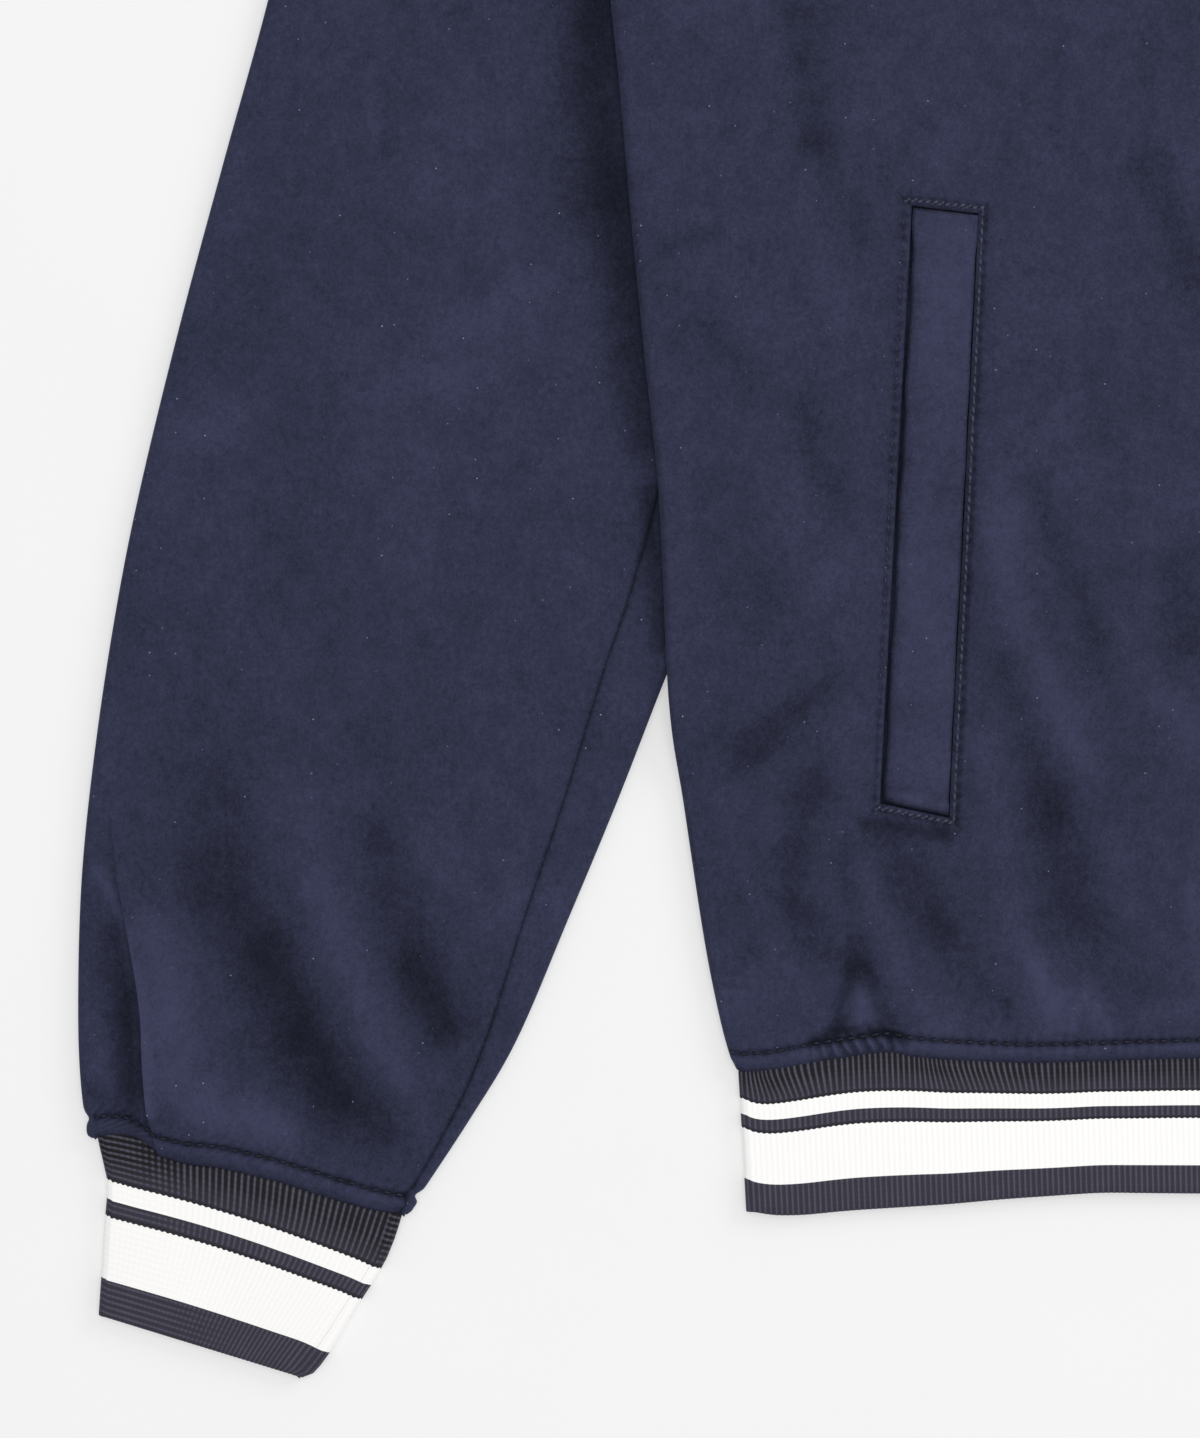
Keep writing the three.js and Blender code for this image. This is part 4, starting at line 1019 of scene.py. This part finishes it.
sleeve_right, right_top, right_from_cuff = make_sleeve(
    "sleeve_right_cloth", SLEEVE_CREASES, 5, False
)
sleeve_left, left_top, left_from_cuff = make_sleeve(
    "sleeve_left_cloth", LEFT_SLEEVE_CREASES, 17, True
)

# %% [markdown]
# ## The rib bands
# Cuffs, hem and collar are bands of rib knit. Each starts as a smooth grid along its length. The grid
# is then cut into whole ribs, four points to a rib, and each rib is pushed out into a round ridge.
# Both long edges roll down: one into the seam, one because the band is folded there.

# %% From a smooth band to ribs
BAND_ROWS = np.array(
    [0, 0.012, 0.03, 0.06, 0.12, 0.2, 0.3, 0.4, 0.5, 0.6, 0.7, 0.8, 0.88, 0.94, 0.97, 0.988, 1]
)
POINTS_PER_RIB = 4
STRIPE_CALM = 30  # points to either side: the stripes don't follow the seam's small waves
RIB_SHOWN = 0.16  # a ridge is softer than the solid's, whose ribs are plain folds


def cut_into_ribs(grid, slack_of, height=None):
    """grid goes row by row from the free edge to the seam. Returns ribs, their UV and their slack.

    A tube's stripes are counted from its free edge, in a height in mm."""
    middle = grid[len(grid) // 2]
    along = np.concatenate([[0], np.cumsum(np.linalg.norm(np.diff(middle, axis=0), axis=1))])
    ribs = round(along[-1] / RIB_PITCH)
    at = np.linspace(0, along[-1], ribs * POINTS_PER_RIB + 1)
    fine = np.stack([
        np.stack([np.interp(at, along, line[:, axis]) for axis in range(3)], -1) for line in grid
    ])
    count = np.broadcast_to(at / along[-1] * ribs, fine.shape[:2])
    steps = np.linalg.norm(np.diff(fine, axis=0), axis=2)
    from_free = np.concatenate([np.zeros((1, steps.shape[1])), np.cumsum(steps, 0)])
    reach = np.pad(from_free[-1], STRIPE_CALM, mode="edge")
    calm = np.convolve(reach, np.full(2 * STRIPE_CALM + 1, 1 / (2 * STRIPE_CALM + 1)), mode="valid")
    from_seam = 1 - from_free / (height or calm)
    slack = slack_of(fine, from_seam)
    ridge = (0.5 + 0.5 * np.cos(2 * math.pi * count)) * (1 - 0.75 * slack)
    normal = outward(fine)
    ribs_out = fine + normal * (ridge * RIB_SHOWN)[..., None]
    ribs_out[..., 2] = np.maximum(ribs_out[..., 2] + RIB_SHOWN * np.maximum(0, -normal[..., 2]), 0)
    return ribs_out, (count, from_seam), slack


def rolled(height):
    """How much lower a band's upper face is near its free edge and its seam, for its height in mm."""
    free, seam = BAND_ROWS * height, (1 - BAND_ROWS) * height
    return 1.3 * fade(-1.4, 1.6, free) + 1.0 * fade(-1.2, 1.4, seam)


# %% The cuffs
def cuff_top_parts(ring, width, seam, edge):
    return [mix(seam, 1 - edge, share) for share in np.linspace(0, 1, 41)]


CUFF_HEIGHT, CUFF_FREE_HEIGHT = 56, 57.8  # as it shows, and with what is tucked in the seam


def cuff_surface():
    ring_at = np.interp(1 - BAND_ROWS, [0, 0.4, 1], [0, 1, 2])
    inner, outer, _ = edges_at(cuff_curves, ring_at)
    part, z, is_top = tube_columns(ring_at, cuff_curves, RIB_TOP, cuff_top_parts, 16, gap=0.06)
    x = mix(inner[:, None, 0], outer[:, None, 0], part)
    y = mix(inner[:, None, 1], outer[:, None, 1], part)
    wave_part, wave = np.array(CUFF_WAVE).T
    y = y + np.interp(part, wave_part, wave) * fade(0, 0.4, ring_at)[:, None]
    # Below the seam the cuff is drawn in a little, and it bells out above the free edge's inner corner.
    from_free = BAND_ROWS[:, None] * CUFF_HEIGHT
    bell = 2.5 * soft(-0.5, 4.5, from_free) * fade(8, 28, from_free)
    pull = -bell * fade(0, 0.14, part)
    pull = pull - 2.0 * near(CUFF_HEIGHT - from_free, 12, 8) * soft(0.86, 1, part)
    y = y + (0.5 + 0.8 * soft(0.8, 0.9, part)) * soft(48, CUFF_HEIGHT, from_free)
    along = (outer - inner) / np.linalg.norm(outer - inner, axis=1, keepdims=True)
    x, y = x + along[:, None, 0] * pull, y + along[:, None, 1] * pull
    sag = 0.5 * np.sin(part * 9) * (np.sin(math.pi * BAND_ROWS) ** 2)[:, None]
    z = z - np.where(is_top[None, :], rolled(CUFF_HEIGHT)[:, None], 0)
    z = z + np.where(is_top[None, :], sag, 0)
    return np.stack([x, y, z], -1)


def cuff_slack(fine, from_seam):
    across = fine[..., 0] + 0.25 * fine[..., 1]
    near_seam = soft(-345.5, -344, fine[..., 0] - 0.3 * fine[..., 1])
    return 0.08 + (0.8 * fade(-428, -404, across) + 0.7 * near_seam) * (fine[..., 2] > 2)


# The tube's columns run from the seam outwards, so its rows are turned to keep the outside out.
cuff_ribs, cuff_uv, cuff_slacks = cut_into_ribs(cuff_surface(), cuff_slack, CUFF_FREE_HEIGHT)
cuff_ribs, cuff_slacks = cuff_ribs[::-1], cuff_slacks[::-1]
cuff_uv = [item[::-1] for item in cuff_uv]
cuff_right, cuff_left = [
    make_wall(name, cuff_ribs, RIB_WALL, rib_knit, {"slack": cuff_slacks}, cuff_uv, mirror=mirror)
    for name, mirror in (("cuff_right_knit", False), ("cuff_left_knit", True))
]


# %% A band that is open at the centre front
def band_surface(front_edges, back_edges, right_rise, left_rise, height):
    """front_edges and back_edges: lower and upper (x, y) lines on the wearer's right."""
    columns = []

    def put(lower_edge, upper_edge, z, is_top, mirror):
        place = mix(np.array(lower_edge)[None], np.array(upper_edge)[None], BAND_ROWS[:, None])
        drop = rolled(height) if is_top else 0
        sign = -1 if mirror else 1
        columns.append(
            np.stack([place[:, 0] * sign, place[:, 1], z - drop + np.zeros(len(BAND_ROWS))], -1)
        )

    def fold(angle, mirror):
        (low_x, low_y), (top_x, top_y) = front_edges[0][0], front_edges[1][0]
        out, z = RIB_FOLD * math.cos(angle), RIB_FOLD * (1 + math.sin(angle))
        put((low_x - out, low_y), (top_x - out, top_y), z, False, mirror)

    for low, top in list(zip(*front_edges))[::-1]:
        put(low, top, RIB_TOP + left_rise((low[0] + top[0]) / 2), True, True)
    for angle in FOLD_ANGLES:
        fold(angle, True)
    for low, top in zip(*back_edges):
        put(low, top, 0.0, False, True)
    for low, top in list(zip(*back_edges))[-2::-1]:
        put(low, top, 0.0, False, False)
    for angle in FOLD_ANGLES[::-1]:
        fold(angle, False)
    for low, top in zip(*front_edges):
        put(low, top, RIB_TOP + right_rise((low[0] + top[0]) / 2), True, False)
    return np.stack(columns, 1)


# %% The hem band
HEM_HEIGHT, HEM_TUCKED, NAVY_FROM = 48, 0.15, 0.74  # the navy part above the stripes, from its fold
hem_x = np.linspace(-(HEM_HALF["top"] - RIB_FOLD), OVERLAP, 160)
seam_line_x, seam_line_y = body_place(0.0, front_columns, True)
seam_line_y = hem_wave(seam_line_x, seam_line_y, np.zeros_like(seam_line_x))


def hem_lines(xs):
    edge_x, edge_y = np.array(HEM_EDGE).T
    low_x = xs * HEM_HALF["bottom"] / HEM_HALF["top"]
    smooth = np.mean(
        [np.interp(low_x + away, edge_x, edge_y) for away in np.linspace(-5, 5, 11)], axis=0
    )
    top_y = np.interp(xs, seam_line_x, seam_line_y) + HEM_TUCKED
    return list(zip(low_x, smooth)), list(zip(xs, top_y))


hem_grid = band_surface(
    hem_lines(hem_x), hem_lines(hem_x[hem_x < 0]),
    lambda x: 0.0, lambda x: HEM_RISE * soft(-46, -16, x), HEM_HEIGHT,
)
# The seam's small waves die out within the navy part above the stripes.
from_middle = -np.abs(hem_grid[-1, :, 0])
calm = [
    np.interp(from_middle + away, seam_line_x, seam_line_y) for away in np.linspace(-22, 22, 23)
]
seam_waves = np.interp(from_middle, seam_line_x, seam_line_y) - np.mean(calm, axis=0)
wave_share = np.interp(BAND_ROWS, [0, NAVY_FROM, 1], [0, 0, 1]) - BAND_ROWS
hem_grid[..., 1] += seam_waves * wave_share[:, None]
# Near the seam the ribs lean, where the cloth was eased in.
LEAN_AT, LEANS = [-231, -220, -212, -200, -176, -164, -150, -130], [0, 3.2, 2.8, 0, 0, 2.6, 2.6, 0]
lean = np.sign(hem_grid[-1, :, 0]) * np.interp(from_middle, LEAN_AT, LEANS)
hem_grid[..., 0] += lean * soft(NAVY_FROM, 1, BAND_ROWS)[:, None]


def little_slack(fine, from_seam):
    return np.full(from_seam.shape, 0.06)


hem_ribs, hem_uv, hem_slack = cut_into_ribs(hem_grid, little_slack)
from_fold = HEM_HALF["top"] - np.abs(hem_ribs[..., 0])
hem_uv = (hem_uv[0], hem_uv[1] + 0.03 * near(from_fold, 0, 3.5))
hem = make_wall("hem_knit", hem_ribs, RIB_WALL, rib_knit, {"slack": hem_slack}, hem_uv)


# %% The collar
def collar_lines(parts, is_front):
    seam_x, seam_y = neck_place(parts, is_front)
    to_middle = NECK["y"] + 40 - seam_y
    away = np.hypot(-seam_x, to_middle)
    seam_x = seam_x - COLLAR["tucked"] * -seam_x / away
    seam_y = seam_y - COLLAR["tucked"] * to_middle / away
    depth = NECK["front"] if is_front else NECK["back"]
    angle = np.minimum(parts / (NECK["end"] if is_front else 1), 1) * math.pi / 2
    top_x = -COLLAR["half"] * np.cos(angle)
    top_y = COLLAR["y"] - (COLLAR["y"] - (NECK["y"] - depth + COLLAR["height"])) * np.sin(angle)
    end = -SEAM_GAP / 2 if is_front else 0.0
    free = list(zip(np.minimum(top_x, end), top_y))
    return free, list(zip(np.minimum(seam_x, end), seam_y))


def collar_rise(x):
    return OVERLAP_RISE * soft(-44, -22, x)


collar_grid = band_surface(
    collar_lines(np.linspace(0, NECK["end"], 80), True),
    collar_lines(np.linspace(0, 1, 50), False), collar_rise, collar_rise, COLLAR["height"],
)
# The collar's free edge is the upper one, so its rows are turned to keep the outside out.
collar_ribs, collar_uv, collar_slack = cut_into_ribs(collar_grid[:, ::-1], little_slack)
collar = make_wall(
    "collar_knit", collar_ribs, RIB_WALL, rib_knit, {"slack": collar_slack}, collar_uv
)

# %% [markdown]
# ## Stitches
# A lockstitch shows as a row of short threads, each dipping into the cloth at its ends. One stitch is
# a bar with rounded, sunken ends. Copies follow each stitching line, found on the cloth's own grid.


# %% Lines on a cloth grid, and points at even steps along them
def line_at(grid, distance, target):
    """For each column, the point where distance along that column reaches target."""
    points = []
    for column in range(grid.shape[1]):
        run = distance[:, column]
        order = np.argsort(run)
        points.append(
            [np.interp(target, run[order], grid[order, column, axis]) for axis in range(3)]
        )
    return np.array(points)


def evenly(line, pitch):
    along = np.concatenate([[0], np.cumsum(np.linalg.norm(np.diff(line, axis=0), axis=1))])
    at = np.arange(pitch / 2, along[-1] - pitch / 4, pitch)
    points, ahead, behind = [
        np.stack([np.interp(at + shift, along, line[:, axis]) for axis in range(3)], -1)
        for shift in (0, 0.5, -0.5)
    ]
    direction = ahead - behind
    return points, direction / np.linalg.norm(direction, axis=1, keepdims=True)


# %% One stitch, as a bar of five rings whose ends dip
STITCH_RINGS = (
    (-0.5, 0.35, -0.35), (-0.34, 1, 0.0), (0, 1.1, 0.12), (0.34, 1, 0.0), (0.5, 0.35, -0.35)
)
STITCH_SIDES = 6


def stitch_mesh(rows_of_stitches):
    """Each row: points, directions, length, radius, slant in degrees."""
    points, faces = [], []
    angles = np.arange(STITCH_SIDES) * 2 * math.pi / STITCH_SIDES
    for centres, directions, length, radius, slant in rows_of_stitches:
        for centre, direction in zip(centres, directions):
            turn = math.radians(slant)
            flat = np.array([direction[0], direction[1], 0.0])
            flat /= np.linalg.norm(flat)
            side = np.array([-flat[1], flat[0], 0.0])
            run = flat * math.cos(turn) + side * math.sin(turn)
            run[2] = direction[2]
            across = np.cross((0, 0, 1), run)
            across /= np.linalg.norm(across)
            base = len(points)
            for along, size, lift in STITCH_RINGS:
                middle = centre + run * along * length + (0, 0, (lift + 0.35) * radius * 2)
                for angle in angles:
                    around = across * math.cos(angle) + np.array((0, 0, math.sin(angle)))
                    points.append(middle + around * radius * size)
            for ring in range(len(STITCH_RINGS) - 1):
                for side_at in range(STITCH_SIDES):
                    following = (side_at + 1) % STITCH_SIDES
                    low, high = base + ring * STITCH_SIDES, base + (ring + 1) * STITCH_SIDES
                    faces.append((low + side_at, low + following, high + following, high + side_at))
            last = base + (len(STITCH_RINGS) - 1) * STITCH_SIDES
            faces.append(tuple(base + at for at in reversed(range(STITCH_SIDES))))
            faces.append(tuple(last + at for at in range(STITCH_SIDES)))
    return np.array(points), faces


# %% Stitching lines of the hem, the cuffs, the placket and the pockets
STITCH_LENGTH, THREAD_RADIUS = 2.5, 0.42
PLAIN, TO_LEFT = (1, 1, 1), (-1, 1, 1)


def make_stitches(name, rows_of_stitches, material):
    points, faces = stitch_mesh(rows_of_stitches)
    make_piece(name, points, faces, material)


def plain_row(line):
    return (*evenly(line, STITCH_PITCH), STITCH_LENGTH, THREAD_RADIUS, 0)


make_stitches("stitches_hem", [
    plain_row(line_at(right_grid, right_from_hem, HEM_STITCH)[2:-2]),
    plain_row(line_at(left_grid, left_from_hem, HEM_STITCH)[2:-2] * TO_LEFT),
], thread_dark_as_shade)
make_stitches("stitches_cuffs", [
    plain_row(line_at(right_top, right_from_cuff, CUFF_STITCH)),
    plain_row(line_at(left_top, left_from_cuff, CUFF_STITCH) * TO_LEFT),
], thread_dark_as_shade)


# %% Stitches round a pocket window, with twisted bar tacks at its ends
def front_line(rows, columns, rise, creases, seed, side):
    points = []
    for row, column in zip(rows, columns):
        near_rows = np.array([max(0, row - 0.02), row, row + 0.02])
        place = front_surface(near_rows, np.array([column - 1e-4, column]), rise, creases, seed)[0]
        points.append(place[1, 1])
    return np.array(points) * side


# Pitch, length, radius and slant of the stitches of each row.
OPENING_ROW, SEWN_ROW, BAR_TACKS = (3.4, 1.6, 0.2, 0), (3.2, 2.9, 0.42, 6), (2.2, 2.7, 0.5, 32)


def pocket_rows_of(creases, seed, side):
    rows = np.linspace(POCKET_LOW - 0.03, POCKET_HIGH + 0.03, 70)
    ends = np.linspace(1 - 0.03, 2 + 0.035, 16)
    opening, sewn = 1 - 2.0 / POCKET_MM["left"], 2 + 1.2 / POCKET_MM["right"]
    low, high = POCKET_LOW - 1.5 / POCKET_MM["low"], POCKET_HIGH + 1.4 / POCKET_MM["high"]
    lines = [
        (rows, rows * 0 + opening, OPENING_ROW), (rows, rows * 0 + sewn, SEWN_ROW),
        (ends * 0 + low, ends, BAR_TACKS), (ends * 0 + high, ends, BAR_TACKS),
    ]
    return [
        (*evenly(front_line(row, column, 0, creases, seed, side), pitch), *stitch)
        for row, column, (pitch, *stitch) in lines
    ]


make_stitches(
    "stitches_pockets",
    pocket_rows_of(*RIGHT_FRONT[1:], PLAIN) + pocket_rows_of(*LEFT_FRONT[1:], TO_LEFT),
    pocket_thread,
)
placket_rows = np.linspace(PLACKET["from"], PLACKET["to"], 190)
placket_line = front_line(placket_rows, placket_rows * 0 + PLACKET["column"], *LEFT_FRONT, TO_LEFT)
make_stitches("stitches_placket", [plain_row(placket_line)], thread_dark_as_shade)

# %% [markdown]
# ## Snap caps
# A cap is pressed from a disc: a flat rim, a groove and a low crown. It starts as a cylinder whose
# top face is inset and moved in edit mode, once. The others are copies with their own mesh.

# %% One snap cap
SNAP = {"radius": 7.5, "rim": 2.1, "sides": 48}
SNAP_STEPS = ((1.2, 0), (0.35, -0.35), (0.35, 0.6), (1.6, 0.4), (2.0, 0.2))  # inset, lift in mm


def deselect_all():
    for item in bpy.context.selected_objects:
        item.select_set(False)


deselect_all()
low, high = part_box("snap_1")
snap_middle = [(a + b) / 2 for a, b in zip(low, high)]
bpy.ops.mesh.primitive_cylinder_add(
    vertices=SNAP["sides"], radius=SNAP["radius"] * MM, depth=SNAP["rim"] * MM,
    location=(snap_middle[0], snap_middle[1], low[2] + SNAP["rim"] / 2 * MM),
)
snap = bpy.context.object
snap.name = "snap_1_cap"
bpy.ops.object.transform_apply(location=True, rotation=True, scale=True)
bpy.ops.object.mode_set(mode="EDIT")
bpy.ops.mesh.select_all(action="DESELECT")
bpy.ops.object.mode_set(mode="OBJECT")
for face in snap.data.polygons:
    face.select = face.normal.z > 0.9
bpy.ops.object.mode_set(mode="EDIT")
for inset, lift in SNAP_STEPS:
    bpy.ops.mesh.inset(thickness=inset * MM)
    bpy.ops.transform.translate(value=(0, 0, lift * MM))
bpy.ops.object.mode_set(mode="OBJECT")
bevel = snap.modifiers.new("rounded_rim", "BEVEL")
bevel.width, bevel.segments, bevel.angle_limit = 0.5 * MM, 3, math.radians(40)
bpy.ops.object.modifier_apply(modifier=bevel.name)
bpy.ops.object.shade_smooth_by_angle(angle=math.radians(35))
snap.data.materials.append(lacquer)
print("snap cap with", len(snap.data.polygons), "faces")

# %% The other snap caps
snaps = [snap]
for number in range(2, 7):
    copy = snap.copy()
    copy.data = snap.data.copy()
    copy.name = f"snap_{number}_cap"
    other_low, other_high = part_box(f"snap_{number}")
    shift = [(a + b) / 2 - c for a, b, c in zip(other_low, other_high, snap_middle)]
    for vertex in copy.data.vertices:
        vertex.co += type(vertex.co)(shift)
    bpy.context.collection.objects.link(copy)
    snaps.append(copy)
for number, cap in enumerate(snaps, 1):
    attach(cap, "root")
    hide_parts(f"snap_{number}")
print(len(snaps), "snap caps")

# %% [markdown]
# ## What each piece stands for
# Every cloth piece replaces its CAD node, which is hidden. The table lists each piece with its node, a
# kind, the flat size it is cut to and its area; here only the nodes are hidden.

SHEETS = [
    (front_right, "front_right", "cloth", (0.315, 0.633), 0.156),
    (front_left, "front_left", "cloth", (0.315, 0.633), 0.156),
    (back, "back", "cloth", (0.556, 0.632), 0.306),
    (sleeve_right, "sleeve_right", "cloth", (0.378, 0.672), 0.181),
    (sleeve_left, "sleeve_left", "cloth", (0.378, 0.672), 0.181),
    (welt_right, "pocket_welt_right", "welt", (0.022, 0.196), None),
    (welt_left, "pocket_welt_left", "welt", (0.022, 0.196), None),
    (cuff_right, "cuff_right", "rib", (0.196, 0.057), None),
    (cuff_left, "cuff_left", "rib", (0.196, 0.057), None),
    (hem, "hem_rib", "rib", (0.93, 0.049), None),
    (collar, "collar", "rib", (0.455, 0.052), None),
]
for piece, node, slot_name, flat, area in SHEETS:
    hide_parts(node)
print(len(SHEETS), "cloth pieces")

# %% [markdown]
# ## Floor and light
# The floor is plain pale paper. A very large lamp straight above fills the picture evenly, and a
# smaller one from the upper right gives the creases their soft shade, as in a studio. The paper also
# glows a little, so that the jacket's shadow on it stays nearly as faint as in the photograph.

# %% Floor
deselect_all()
bpy.ops.mesh.primitive_plane_add(size=6, location=(0, 0, -0.0003))  # just clear of the cloth
floor = bpy.context.object
floor.name = "floor"
paper, tree, surface = new_material("matt_background_paper")
paper_noise = {"Vector": add_node(tree, "TexCoord", out="Object"), "Scale": PER_MM / 60}
colours = {0: add_node(tree, "TexNoise", paper_noise), 6: linear("#b7b7b8"), 7: linear("#b9b9b9")}
fill(surface, {
    "Base Color": add_node(tree, "Mix", colours, out=2, data_type="RGBA"),
    "Roughness": 0.95, "Specular IOR Level": 0.0,
    "Emission Color": linear("#f5f5f5"), "Emission Strength": 0.45,
})
floor.data.materials.append(paper)


# %% Light
def add_lamp(name, place, size, power, aim):
    lamp = bpy.data.lights.new(name, "AREA")
    lamp.shape, lamp.size, lamp.energy = "SQUARE", size, power
    holder = bpy.data.objects.new(name, lamp)
    holder.location = place
    direction = type(holder.location)([a - p for a, p in zip(aim, place)])
    holder.rotation_mode = "QUATERNION"
    holder.rotation_quaternion = direction.to_track_quat("-Z", "Y")
    bpy.context.collection.objects.link(holder)


view_point = (VIEW["x"] * MM, (VIEW["y"] - MIDDLE_Y) * MM, 0)
add_lamp("overhead_softbox", (view_point[0], view_point[1], 3.0), 3.0, 49, view_point)
add_lamp("side_softbox", (1.3, 0.9, 0.95), 0.9, 14, view_point)
world = bpy.data.worlds.new("studio")
bpy.context.scene.world = world
world.use_nodes = True
fill(world.node_tree.nodes["Background"], {"Color": linear("#f5f5f6"), "Strength": 0.56})
bpy.context.scene.view_settings.view_transform = "Standard"
bpy.context.scene.view_settings.look = "None"
